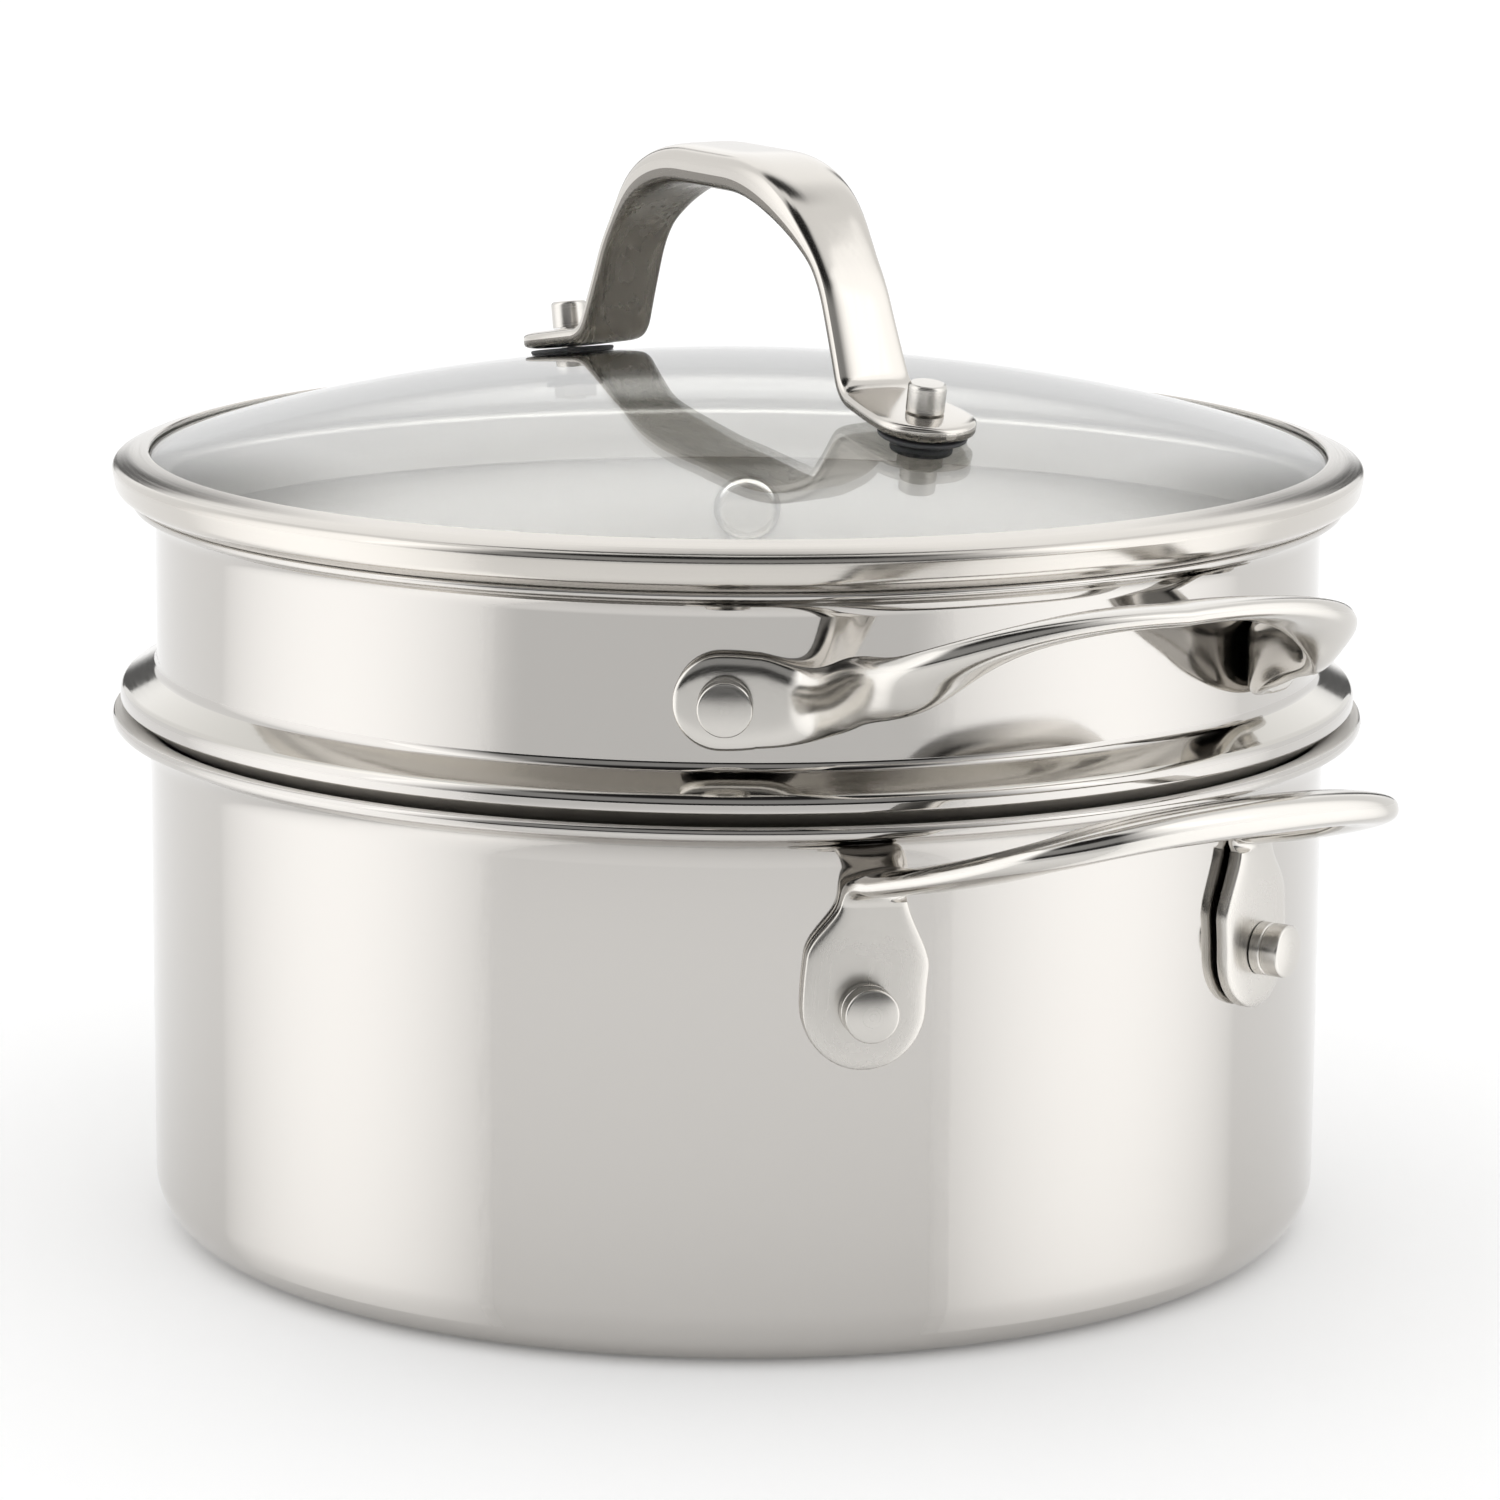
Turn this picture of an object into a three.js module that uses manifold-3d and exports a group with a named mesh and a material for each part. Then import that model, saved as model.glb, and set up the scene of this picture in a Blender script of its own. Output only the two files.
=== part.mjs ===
// Saucepot with a lift-in steamer and a glass lid, each with its own handles.
// Sizes are millimetres and angles are degrees. +Z is up, z = 0 is the underside of the
// pot and +X points along the pot's two handles.

import * as THREE from 'three';
import { mergeVertices } from 'three/addons/utils/BufferGeometryUtils.js';
import Module from 'manifold-3d';

const wasm = await Module();
wasm.setup();

// Clearances between separate pieces
const CONTACT_GAP = 0.3;
const HOLE_CLEARANCE = 0.25;
const INNER_HEAD_GAP = 0.5;
const SEAT_GAP = 0.45;

// Pot body: one sheet, drawn up from a flat base to an outward lip
const POT_RADIUS = 108;
const POT_SHEET = 2.2;
const POT_CORNER = 10;
const POT_HEIGHT = 96.3;
const POT_LIP_WIDTH = 6.2;
const POT_FLARE = 6;

// Pot handles: two riveted ears whose necks lean in and bend outwards into a loop
const POT_RIVET_ANGLE = 22.4;
const POT_RIVET_DROP = 32;
const POT_EAR_RADIUS = 10.7;
const POT_EAR_THICKNESS = 3;
const POT_EAR_SHOULDER = 7.4;
const POT_EAR_RISE = 18.1;
const POT_EAR_LEAN = 1.5;
const POT_NECK_WIDTH = 11.3;
const POT_NECK_BLEND = 1;
const POT_BEND_RADIUS = 3.8;
const POT_LEG_TURN = 31.4;
const POT_LOOP_REACH = 39.5;
const POT_LOOP_RISE = 14.1;
const POT_LOOP_LEG_PULL = 40;
const POT_LOOP_LEG_LIFT = 9.5;
const POT_LOOP_BAR_PULL = 39.9;
const POT_LOOP_BAR_LIFT = 0.2;
const POT_LOOP_WIDTH = 12.6;
const POT_LEG_THICKNESS = 4.4;
const POT_BAR_THICKNESS = 6.7;
const POT_BAR_TILT = 10.8;

// Steamer: a thin sheet basket whose bead sits in the mouth of the pot
const STEAMER_SHEET = 1.2;
const STEAMER_WALL_INSET = 1.3;
const STEAMER_DROP = 36.3;
const STEAMER_FOOT_TAPER = 3.4;
const STEAMER_CORNER = 6;
const SKIRT_CLEARANCE = 1.4;
const SKIRT_BEND = 3;
const BEAD_INSET = 0.8;
const BEAD_LOW = 2.3;
const BEAD_HIGH = 4.8;
const BEAD_ROOT = 8.6;
const BEAD_LOW_RADIUS = 0.9;
const BEAD_HIGH_RADIUS = 1.2;
const BEAD_ROOT_RADIUS = 2;
const STEAMER_RISE = 39;
const STEAMER_LIP_WIDTH = 3.8;
const STEAMER_FLARE = 3.6;

// Steam holes in the steamer's base, in rings of 6, 12, 18 and more round one in the middle
const STEAM_HOLE = 7;
const STEAM_HOLE_PITCH = 21;
const STEAM_HOLE_RINGS = 3;

// Steamer handles: a strap that lies on the wall at its ears and twists flat at its bar
const STEAMER_TURN = -3.4;
const STEAMER_RIVET_ANGLE = 31.4;
const STEAMER_RIVET_HEIGHT = 20.2;
const STEAMER_EAR_RADIUS = 8.9;
const STEAMER_EAR_THICKNESS = 3;
const STEAMER_EAR_RUN = 5.5;
const STEAMER_LOOP_REACH = 33.6;
const STEAMER_LOOP_RISE = 17.5;
const STEAMER_LOOP_LEG_PULL = 25;
const STEAMER_LOOP_LEG_LIFT = -2.9;
const STEAMER_LOOP_BAR_PULL = 67.2;
const STEAMER_LOOP_BAR_LIFT = 3.3;
const STEAMER_LEG_SAG = 3.9;
const STEAMER_NECK_WIDTH = 11.6;
const STEAMER_ELBOW_WIDTH = 10.7;
const STEAMER_BAR_WIDTH = 12;
const STEAMER_NECK_THICKNESS = 5.2;
const STEAMER_ELBOW_THICKNESS = 6.2;
const STEAMER_BAR_THICKNESS = 3.8;
const STEAMER_BAR_TILT = 5.5;
const NECK_SHARE = 0.25;
const ELBOW_SHARE = 0.6;
const TWIST_FROM = 0.22;
const SAG_FROM = 0.31;
const SAG_MOST = 0.61;

// Rivets through the ears and the walls
const RIVET_HEAD_RADIUS = 4.7;
const RIVET_HEAD_HEIGHT = 5.7;
const RIVET_HEAD_CHAMFER = 0.5;
const RIVET_SHANK_RADIUS = 2.5;
const RIVET_INNER_RADIUS = 6.8;
const RIVET_INNER_HEIGHT = 2.2;
const RIVET_INNER_ROUND = 2;

// Lid: a domed glass held in a steel rim that hangs a skirt inside the steamer
const GLASS_THICKNESS = 4;
const GLASS_EDGE_GAP = 0.4;
const DOME_RADIUS = 370;
const RIM_OVERHANG = 4;
const RIM_WALL = 3.9;
const RIM_FLOOR = 2.1;
const RIM_FACE_WIDTH = 6.8;
const RIM_FACE_SHEET = 0.8;
const RIM_SHOULDER = 5.9;
const RIM_SHOULDER_RADIUS = 1;
const RIM_SIDE_LOW = 2.1;
const RIM_SIDE_TUCK = 0.8;
const RIM_SIDE_RADIUS = 1.5;
const RIM_SEAT_TUCK = 3.4;
const LID_SKIRT_CLEARANCE = 1.3;
const LID_SKIRT_SHEET = 1;
const LID_SKIRT_DEPTH = 8.1;

// Lid handle: an arched strap on two round pads
const LID_STUD_REACH = 63.2;
const LID_PAD_RADIUS = 9.2;
const LID_STRAP_HALF = 1.7;
const LID_LEG_FOOT = 47.4;
const LID_LEG_TOP = 38.3;
const LID_LEG_RISE = 21;
const LID_TOP_HALF = 22;
const LID_TOP_RISE = 35.2;
const LID_FOOT_RADIUS = 6;
const LID_LEG_RADIUS = 28;
const LID_SHOULDER_RADIUS = 37;
const LID_LEG_WIDTH = 13.2;
const LID_TOP_WIDTH = 17.6;
const LID_TOP_CROWN = 4.4;
const LID_TOP_BELLY = 3;

// Studs, gaskets and nuts that hold the lid handle through the glass
const STUD_HEAD_RADIUS = 3.4;
const STUD_HEAD_HEIGHT = 3.5;
const STUD_HEAD_CHAMFER = 0.5;
const STUD_SHANK_RADIUS = 2;
const STUD_TAIL = 0.4;
const GASKET_RADIUS = 8.2;
const GASKET_THICKNESS = 2;
const WASHER_RADIUS = 5.5;
const WASHER_THICKNESS = 1;
const NUT_RADIUS = 4;
const NUT_HEIGHT = 2.4;

// Facets
const ROUND_SEGMENTS = 48;
const SMALL_SEGMENTS = 10;
const HOLE_SEGMENTS = 8;
const SECTION_POINTS = 10;
const LOOP_STEPS = 10;
const DOME_STEPS = 7;
const ARC_STEP = 30;
const ARCH_STEP = 15;
const SHARP = 0.05;
const EAR_END_TURNS = [-75, -55, -30, 0];

// Lengths of the drills, each longer than what it goes through
const RIVET_DRILL = 30;
const STUD_DRILL = 40;
const STEAM_DRILL = 8;

// Squareness of a strap's section: a low number has flat faces, 1 is an ellipse
const EAR_SQUARENESS = 0.35;
const LOOP_SQUARENESS = 0.8;
const ARCH_SQUARENESS = 0.5;

// Sizes that follow from those above
const POT_INNER = POT_RADIUS - POT_SHEET;
const POT_LIP_RADIUS = POT_RADIUS + POT_LIP_WIDTH;
const POT_RIVET_HEIGHT = POT_HEIGHT - POT_RIVET_DROP;
const STEAMER_RADIUS = POT_RADIUS - STEAMER_WALL_INSET;
const STEAMER_INNER = STEAMER_RADIUS - STEAMER_SHEET;
const STEAMER_LIP_RADIUS = STEAMER_RADIUS + STEAMER_LIP_WIDTH;
const RIM_RADIUS = STEAMER_LIP_RADIUS + RIM_OVERHANG;
const LID_SEAT = STEAMER_RISE + CONTACT_GAP;
const RIM_CHANNEL = RIM_RADIUS - RIM_WALL;
const GLASS_RADIUS = RIM_CHANNEL - GLASS_EDGE_GAP;
const DOME_INNER = DOME_RADIUS - GLASS_THICKNESS;
const DOME_DROP = Math.sqrt(DOME_INNER ** 2 - GLASS_RADIUS ** 2);
const DOME_CENTRE = RIM_FLOOR + CONTACT_GAP - DOME_DROP;
const DOME_TOP = DOME_CENTRE + DOME_RADIUS;
const LID_LEG_HEIGHT = DOME_TOP + LID_LEG_RISE;
const LID_TOP_HEIGHT = DOME_TOP + LID_TOP_RISE;

const rad = THREE.MathUtils.degToRad;
const lerp = THREE.MathUtils.lerp;
const smooth = THREE.MathUtils.smoothstep;
const UP = new THREE.Vector3(0, 0, 1);

// Finishes
function finish(name, color, roughness, metalness, opacity = 1) {
  const transparent = opacity < 1;
  return new THREE.MeshStandardMaterial({ name, color, roughness, metalness, opacity, transparent });
}

const polished = () => finish('polished_steel', '#c6c8ca', 0.12, 1);
const satin = () => finish('satin_steel', '#b4b5b6', 0.35, 1);
const glass = () => finish('clear_glass', '#dfe8e6', 0.05, 0, 0.3);
const silicone = () => finish('grey_silicone', '#3b434d', 0.7, 0);

// Rounds the corners [x, y, radius] of a line, each with an arc of short straight steps.
function roundCorners(corners, arcStep = ARC_STEP) {
  const spots = corners.map(([x, y]) => new THREE.Vector2(x, y));
  const points = [];
  corners.forEach(([, , radius = 0], i) => {
    const isEnd = i === 0 || i === corners.length - 1;
    if (isEnd || radius < SHARP) {
      points.push(spots[i]);
      return;
    }
    const before = spots[i - 1].clone().sub(spots[i]).normalize();
    const after = spots[i + 1].clone().sub(spots[i]).normalize();
    const half = before.angleTo(after) / 2;
    const start = spots[i].clone().addScaledVector(before, radius / Math.tan(half));
    const middle = before.clone().add(after).normalize();
    const centre = spots[i].clone().addScaledVector(middle, radius / Math.sin(half));
    const turn = -Math.sign(before.cross(after)) * (Math.PI - 2 * half);
    const steps = Math.max(1, Math.ceil(Math.abs(turn) / rad(arcStep)));
    for (let k = 0; k <= steps; k += 1) {
      points.push(start.clone().rotateAround(centre, (turn * k) / steps));
    }
  });
  return points;
}

// Outline of a sheet: along its outer corners, round its edge and back along its inner face.
function sheetOutline(corners, thickness) {
  const spots = corners.map(([x, y]) => new THREE.Vector2(x, y));
  const heading = (i) => spots[i + 1].clone().sub(spots[i]).normalize();
  const last = corners.length - 1;
  const inner = corners.map(([x, y, radius = 0], i) => {
    const into = heading(Math.max(i - 1, 0));
    const away = heading(Math.min(i, last - 1));
    const normal = new THREE.Vector2(-into.y, into.x);
    const mitre = new THREE.Vector2(-away.y, away.x).add(normal);
    mitre.multiplyScalar(thickness / mitre.dot(normal));
    return [x + mitre.x, y + mitre.y, radius - Math.sign(into.cross(away)) * thickness];
  });
  const edge = new THREE.Vector2(...inner[last]).lerp(spots[last], 0.5);
  edge.addScaledVector(heading(last - 1), thickness / 3);
  return [...roundCorners(corners), edge, ...roundCorners(inner).reverse()];
}

// Joins equal vertices and drops the triangles that this leaves without an area.
function weld(geometry) {
  geometry.deleteAttribute('normal');
  geometry.deleteAttribute('uv');
  const welded = mergeVertices(geometry, 1e-3);
  const index = welded.index.array;
  const kept = [];
  for (let i = 0; i < index.length; i += 3) {
    const [a, b, c] = index.subarray(i, i + 3);
    if (a !== b && b !== c && c !== a) {
      kept.push(a, b, c);
    }
  }
  welded.setIndex(kept);
  return welded;
}

// Turns an outline [radius, height] about Z. It starts and ends on the axis, or is closed.
function revolve(points, segments) {
  return weld(new THREE.LatheGeometry(points, segments).rotateX(Math.PI / 2));
}

// Turns a closed list of corners about Z.
function revolveRing(corners, segments) {
  const points = roundCorners(corners);
  return revolve([...points, points[0]], segments);
}

// Skins a row of equal rings of points and closes both ends.
function loft(rings) {
  const count = rings[0].length;
  const last = (rings.length - 1) * count;
  const index = [];
  for (let start = 0; start < last; start += count) {
    for (let k = 0; k < count; k += 1) {
      const a = start + k;
      const b = start + ((k + 1) % count);
      index.push(a, b + count, b, a, a + count, b + count);
    }
  }
  for (let k = 1; k < count - 1; k += 1) {
    index.push(0, k, k + 1, last, last + k + 1, last + k);
  }
  const geometry = new THREE.BufferGeometry();
  geometry.setFromPoints(rings.flat());
  geometry.setIndex(index);
  return geometry;
}

function toSolid(geometry) {
  const vertProperties = Float32Array.from(geometry.attributes.position.array);
  const triVerts = Uint32Array.from(geometry.index.array);
  return new wasm.Manifold(new wasm.Mesh({ numProp: 3, vertProperties, triVerts }));
}

// Cuts every tool out of a body.
function cut(body, tools) {
  const solid = tools.reduce((left, tool) => left.subtract(toSolid(tool)), toSolid(body));
  const { vertProperties, triVerts } = solid.getMesh();
  const geometry = new THREE.BufferGeometry();
  geometry.setAttribute('position', new THREE.BufferAttribute(vertProperties, 3));
  geometry.setIndex(new THREE.BufferAttribute(triVerts, 1));
  return geometry;
}

// A drill along Z, centred on the origin.
function drill(radius, length) {
  const geometry = new THREE.CylinderGeometry(radius, radius, length, HOLE_SEGMENTS);
  return weld(geometry.rotateX(Math.PI / 2));
}

// A drill through a wall at an angle round Z and a height.
function wallDrill(angle, radius, height) {
  const bore = drill(RIVET_SHANK_RADIUS + HOLE_CLEARANCE, RIVET_DRILL);
  return bore.rotateY(Math.PI / 2).translate(radius, 0, height).rotateZ(angle);
}

function signedPower(value, exponent) {
  return Math.sign(value) * Math.abs(value) ** exponent;
}

// Ring of points round one station of a strap. The section is wide along `out`, bulges by
// `upper` and `lower` to either side and hugs a wall of curvature `hug`.
function ring(station) {
  const { centre, out, along, width, upper, squareness } = station;
  const { lower = upper, hug = 0 } = station;
  const across = out.clone().addScaledVector(along, -out.dot(along)).normalize();
  const lift = new THREE.Vector3().crossVectors(across, along);
  const points = [];
  for (let k = 0; k < SECTION_POINTS; k += 1) {
    const angle = (2 * Math.PI * k) / SECTION_POINTS;
    const reach = (width / 2) * signedPower(Math.cos(angle), squareness);
    const bulge = signedPower(Math.sin(angle), squareness) * (Math.sin(angle) > 0 ? upper : lower);
    const rise = bulge + (hug * reach * reach) / 2;
    points.push(centre.clone().addScaledVector(across, reach).addScaledVector(lift, rise));
  }
  return points;
}

// Gives each station the direction of the line through its neighbours.
function setDirections(stations) {
  stations.forEach((station, i) => {
    const before = stations[Math.max(i - 1, 0)].centre;
    const after = stations[Math.min(i + 1, stations.length - 1)].centre;
    station.along = after.clone().sub(before).normalize();
  });
}

// Strap whose second half is the first one mirrored across y = 0.
function mirroredStrap(stations) {
  const half = stations.map(ring);
  const flip = new THREE.Vector3(1, -1, 1);
  const back = half.slice(0, -1).reverse();
  return loft([...half, ...back.map((points) => points.map((p) => p.clone().multiply(flip)))]);
}

// Stations of a strap's round end, from its tip to the middle of its round.
function roundEnd(radius, station) {
  return EAR_END_TURNS.map((turn) => ({
    ...station(radius * Math.sin(rad(turn))),
    width: 2 * radius * Math.cos(rad(turn)),
  }));
}

// Stations of half a loop, as a cubic curve from its leg to the middle of its bar. Each
// station may sag below the curve.
function halfLoop(from, heading, legPull, legLift, tip, barPull, barLift, station) {
  const curve = new THREE.CubicBezierCurve3(
    from,
    from.clone().addScaledVector(heading, legPull).addScaledVector(UP, legLift),
    tip.clone().add(new THREE.Vector3(0, -barPull, barLift)),
    tip,
  );
  const stations = [];
  for (let k = 1; k <= LOOP_STEPS; k += 1) {
    const share = k / LOOP_STEPS;
    const along = curve.getTangent(share);
    const side = new THREE.Vector3().crossVectors(along, UP).normalize();
    const top = new THREE.Vector3().crossVectors(side, along);
    const { tilt, sag = 0, ...section } = station(share);
    const out = side.multiplyScalar(Math.cos(tilt)).addScaledVector(top, Math.sin(tilt));
    stations.push({ centre: curve.getPoint(share).addScaledVector(UP, -sag), out, ...section });
  }
  return stations;
}

// Makes the middle station of a mirrored strap point straight across the mirror plane.
function squareTip(stations) {
  stations.at(-1).along.set(0, 1, 0);
}

function potOutline() {
  const lip = POT_HEIGHT - POT_SHEET;
  return sheetOutline(
    [
      [0, 0],
      [POT_RADIUS, 0, POT_CORNER],
      [POT_RADIUS, lip, POT_FLARE],
      [POT_LIP_RADIUS, lip],
    ],
    POT_SHEET,
  );
}

// Ear plate on the wall, a neck that bends outwards under the lip and a rising loop. It is
// drawn pointing along +X.
function potHandle() {
  const angle = rad(POT_RIVET_ANGLE);
  const radial = new THREE.Vector3(Math.cos(angle), -Math.sin(angle), 0);
  const side = new THREE.Vector3(-Math.sin(angle), -Math.cos(angle), 0);
  const earRadius = POT_RADIUS + CONTACT_GAP + POT_EAR_THICKNESS / 2;
  const narrowed = POT_EAR_RISE + POT_NECK_BLEND;
  const ear = (height) => {
    const lean = POT_EAR_LEAN * smooth(height, 0, POT_EAR_RISE);
    const centre = radial.clone().multiplyScalar(earRadius).addScaledVector(side, -lean);
    const neck = smooth(height, POT_EAR_SHOULDER, narrowed);
    return {
      centre: centre.setZ(POT_RIVET_HEIGHT + height),
      out: side,
      width: lerp(2 * POT_EAR_RADIUS, POT_NECK_WIDTH, neck),
      upper: POT_EAR_THICKNESS / 2,
      squareness: EAR_SQUARENESS,
      hug: 1 / POT_RADIUS,
    };
  };
  const stations = roundEnd(POT_EAR_RADIUS, ear);
  for (const share of [0, 0.35, 0.7, 1]) {
    stations.push(ear(lerp(POT_EAR_SHOULDER, POT_EAR_RISE, share)));
  }
  const neckTop = stations.at(-1).centre;
  const legTurn = rad(POT_LEG_TURN);
  const heading = radial.clone().multiplyScalar(Math.cos(legTurn));
  heading.addScaledVector(side, -Math.sin(legTurn));
  for (const turn of [30, 60, 90]) {
    const share = turn / 90;
    const outward = POT_BEND_RADIUS * (1 - Math.cos(rad(turn)));
    const upward = POT_BEND_RADIUS * Math.sin(rad(turn));
    const swing = legTurn * smooth(share, 0, 1);
    const out = side.clone().multiplyScalar(Math.cos(swing));
    stations.push({
      centre: neckTop.clone().addScaledVector(heading, outward).addScaledVector(UP, upward),
      out: out.addScaledVector(radial, Math.sin(swing)),
      width: POT_NECK_WIDTH,
      upper: lerp(POT_EAR_THICKNESS, POT_LEG_THICKNESS, share) / 2,
      squareness: lerp(EAR_SQUARENESS, LOOP_SQUARENESS, share),
    });
  }
  const start = stations.at(-1).centre;
  stations.push(...halfLoop(
    start,
    heading,
    POT_LOOP_LEG_PULL,
    POT_LOOP_LEG_LIFT,
    new THREE.Vector3(POT_RADIUS + POT_LOOP_REACH, 0, start.z + POT_LOOP_RISE),
    POT_LOOP_BAR_PULL,
    POT_LOOP_BAR_LIFT,
    (share) => ({
      tilt: rad(POT_BAR_TILT) * share,
      width: lerp(POT_NECK_WIDTH, POT_LOOP_WIDTH, share),
      upper: lerp(POT_LEG_THICKNESS, POT_BAR_THICKNESS, share) / 2,
      squareness: LOOP_SQUARENESS,
    }),
  ));
  setDirections(stations);
  squareTip(stations);
  const bores = [-angle, angle].map((a) => wallDrill(a, POT_RADIUS, POT_RIVET_HEIGHT));
  return cut(mirroredStrap(stations), bores);
}

// Outline of the steamer, with z = 0 at the top of the pot's lip. The slope under its bead
// is the line from the bead that just clears the pot's rounded mouth.
function steamerOutline() {
  const bead = new THREE.Vector2(POT_LIP_RADIUS - BEAD_INSET, BEAD_LOW);
  const mouth = POT_FLARE + POT_SHEET;
  const toMouth = new THREE.Vector2(POT_RADIUS + POT_FLARE, -mouth).sub(bead);
  const swing = Math.asin((mouth + SEAT_GAP) / toMouth.length());
  const slope = toMouth.clone().rotateAround(new THREE.Vector2(), -swing);
  const skirt = POT_INNER - SKIRT_CLEARANCE;
  const skirtTop = bead.y + (slope.y / slope.x) * (skirt - bead.x);
  const lip = STEAMER_RISE - STEAMER_SHEET;
  return sheetOutline(
    [
      [0, -STEAMER_DROP],
      [skirt - STEAMER_FOOT_TAPER, -STEAMER_DROP, STEAMER_CORNER],
      [skirt, skirtTop, SKIRT_BEND],
      [bead.x, bead.y, BEAD_LOW_RADIUS],
      [bead.x, BEAD_HIGH, BEAD_HIGH_RADIUS],
      [STEAMER_RADIUS, BEAD_ROOT, BEAD_ROOT_RADIUS],
      [STEAMER_RADIUS, lip, STEAMER_FLARE],
      [STEAMER_LIP_RADIUS, lip],
    ],
    STEAMER_SHEET,
  );
}

// Drills for the steam holes, in rings round the middle one.
function steamDrills() {
  const bore = (radius, angle) => {
    const tool = drill(STEAM_HOLE / 2, STEAM_DRILL);
    return tool.translate(radius, 0, -STEAMER_DROP).rotateZ(angle);
  };
  const tools = [bore(0, 0)];
  for (let row = 1; row <= STEAM_HOLE_RINGS; row += 1) {
    for (let k = 0; k < 6 * row; k += 1) {
      tools.push(bore(row * STEAM_HOLE_PITCH, (2 * Math.PI * k) / (6 * row)));
    }
  }
  return tools;
}

// Strap with its ears flat on the wall and its bar turned level. It points along +X.
function steamerHandle() {
  const earRadius = STEAMER_RADIUS + CONTACT_GAP + STEAMER_EAR_THICKNESS / 2;
  const ear = (offset) => {
    const angle = rad(STEAMER_RIVET_ANGLE) - offset / earRadius;
    return {
      centre: new THREE.Vector3(
        earRadius * Math.cos(angle),
        -earRadius * Math.sin(angle),
        STEAMER_RIVET_HEIGHT,
      ),
      out: UP,
      upper: STEAMER_EAR_THICKNESS / 2,
      squareness: EAR_SQUARENESS,
    };
  };
  const stations = roundEnd(STEAMER_EAR_RADIUS, ear);
  const waist = 2 * Math.sqrt(STEAMER_EAR_RADIUS ** 2 - STEAMER_EAR_RUN ** 2);
  stations.push({ ...ear(STEAMER_EAR_RUN), width: waist });
  const start = stations.at(-1).centre;
  const tipHeight = STEAMER_RIVET_HEIGHT + STEAMER_LOOP_RISE;
  stations.push(...halfLoop(
    start,
    new THREE.Vector3(-start.y, start.x, 0).normalize(),
    STEAMER_LOOP_LEG_PULL,
    STEAMER_LOOP_LEG_LIFT,
    new THREE.Vector3(STEAMER_RADIUS + STEAMER_LOOP_REACH, 0, tipHeight),
    STEAMER_LOOP_BAR_PULL,
    STEAMER_LOOP_BAR_LIFT,
    (share) => {
      const neck = smooth(share, 0, NECK_SHARE);
      const elbow = smooth(share, NECK_SHARE, ELBOW_SHARE);
      const bar = smooth(share, ELBOW_SHARE, 1);
      const elbowWidth = lerp(lerp(waist, STEAMER_NECK_WIDTH, neck), STEAMER_ELBOW_WIDTH, elbow);
      const neckThickness = lerp(STEAMER_EAR_THICKNESS, STEAMER_NECK_THICKNESS, neck);
      const elbowThickness = lerp(neckThickness, STEAMER_ELBOW_THICKNESS, elbow);
      const sink = smooth(share, SAG_FROM, SAG_MOST) * (1 - smooth(share, SAG_MOST, 1));
      return {
        tilt: rad(lerp(90, STEAMER_BAR_TILT, smooth(share, TWIST_FROM, 1))),
        sag: STEAMER_LEG_SAG * sink,
        width: lerp(elbowWidth, STEAMER_BAR_WIDTH, bar),
        upper: lerp(elbowThickness, STEAMER_BAR_THICKNESS, bar) / 2,
        squareness: lerp(EAR_SQUARENESS, LOOP_SQUARENESS, neck),
      };
    },
  ));
  setDirections(stations);
  squareTip(stations);
  const angle = rad(STEAMER_RIVET_ANGLE);
  const bores = [-angle, angle].map((a) => wallDrill(a, STEAMER_RADIUS, STEAMER_RIVET_HEIGHT));
  return cut(mirroredStrap(stations), bores);
}

// Rivet along +X with x = 0 on the outer face of its ear. Its grip is the ear and the sheet.
function rivet(earThickness, sheet) {
  const seat = -(earThickness + CONTACT_GAP + sheet + INNER_HEAD_GAP);
  const end = seat - RIVET_INNER_HEIGHT;
  const top = CONTACT_GAP + RIVET_HEAD_HEIGHT;
  const points = roundCorners([
    [0, end],
    [RIVET_INNER_RADIUS, end, RIVET_INNER_ROUND],
    [RIVET_INNER_RADIUS, seat],
    [RIVET_SHANK_RADIUS, seat],
    [RIVET_SHANK_RADIUS, CONTACT_GAP],
    [RIVET_HEAD_RADIUS, CONTACT_GAP],
    [RIVET_HEAD_RADIUS, top - RIVET_HEAD_CHAMFER],
    [RIVET_HEAD_RADIUS - RIVET_HEAD_CHAMFER, top],
    [0, top],
  ]);
  return revolve(points, SMALL_SEGMENTS).rotateY(Math.PI / 2);
}

// Height of the glass above the lid's seat at a radius, for its top face and its underside.
function domeHeight(radius, depth = 0) {
  const ball = DOME_RADIUS - depth;
  return DOME_CENTRE + Math.sqrt(ball * ball - radius * radius);
}

function glassOutline() {
  const face = (depth) => {
    const points = [];
    for (let k = 0; k <= DOME_STEPS; k += 1) {
      const radius = (GLASS_RADIUS * k) / DOME_STEPS;
      points.push(new THREE.Vector2(radius, domeHeight(radius, depth)));
    }
    return points;
  };
  return [...face(GLASS_THICKNESS), ...face(0).reverse()];
}

// Corners of the lid's rim: skirt, seat, rounded side, sloping face and the glass's channel.
function rimCorners() {
  const skirt = STEAMER_INNER - LID_SKIRT_CLEARANCE;
  const face = RIM_RADIUS - RIM_FACE_WIDTH;
  const roof = domeHeight(face) + CONTACT_GAP;
  return [
    [skirt - LID_SKIRT_SHEET, -LID_SKIRT_DEPTH],
    [skirt, -LID_SKIRT_DEPTH],
    [skirt, 0],
    [RIM_RADIUS - RIM_SEAT_TUCK, 0],
    [RIM_RADIUS - RIM_SIDE_TUCK, RIM_SIDE_LOW, RIM_SIDE_RADIUS],
    [RIM_RADIUS, RIM_SHOULDER, RIM_SHOULDER_RADIUS],
    [face, roof + RIM_FACE_SHEET],
    [face, roof],
    [RIM_CHANNEL, domeHeight(RIM_CHANNEL) + CONTACT_GAP],
    [RIM_CHANNEL, RIM_FLOOR],
    [skirt - LID_SKIRT_SHEET, RIM_FLOOR],
  ];
}

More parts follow.
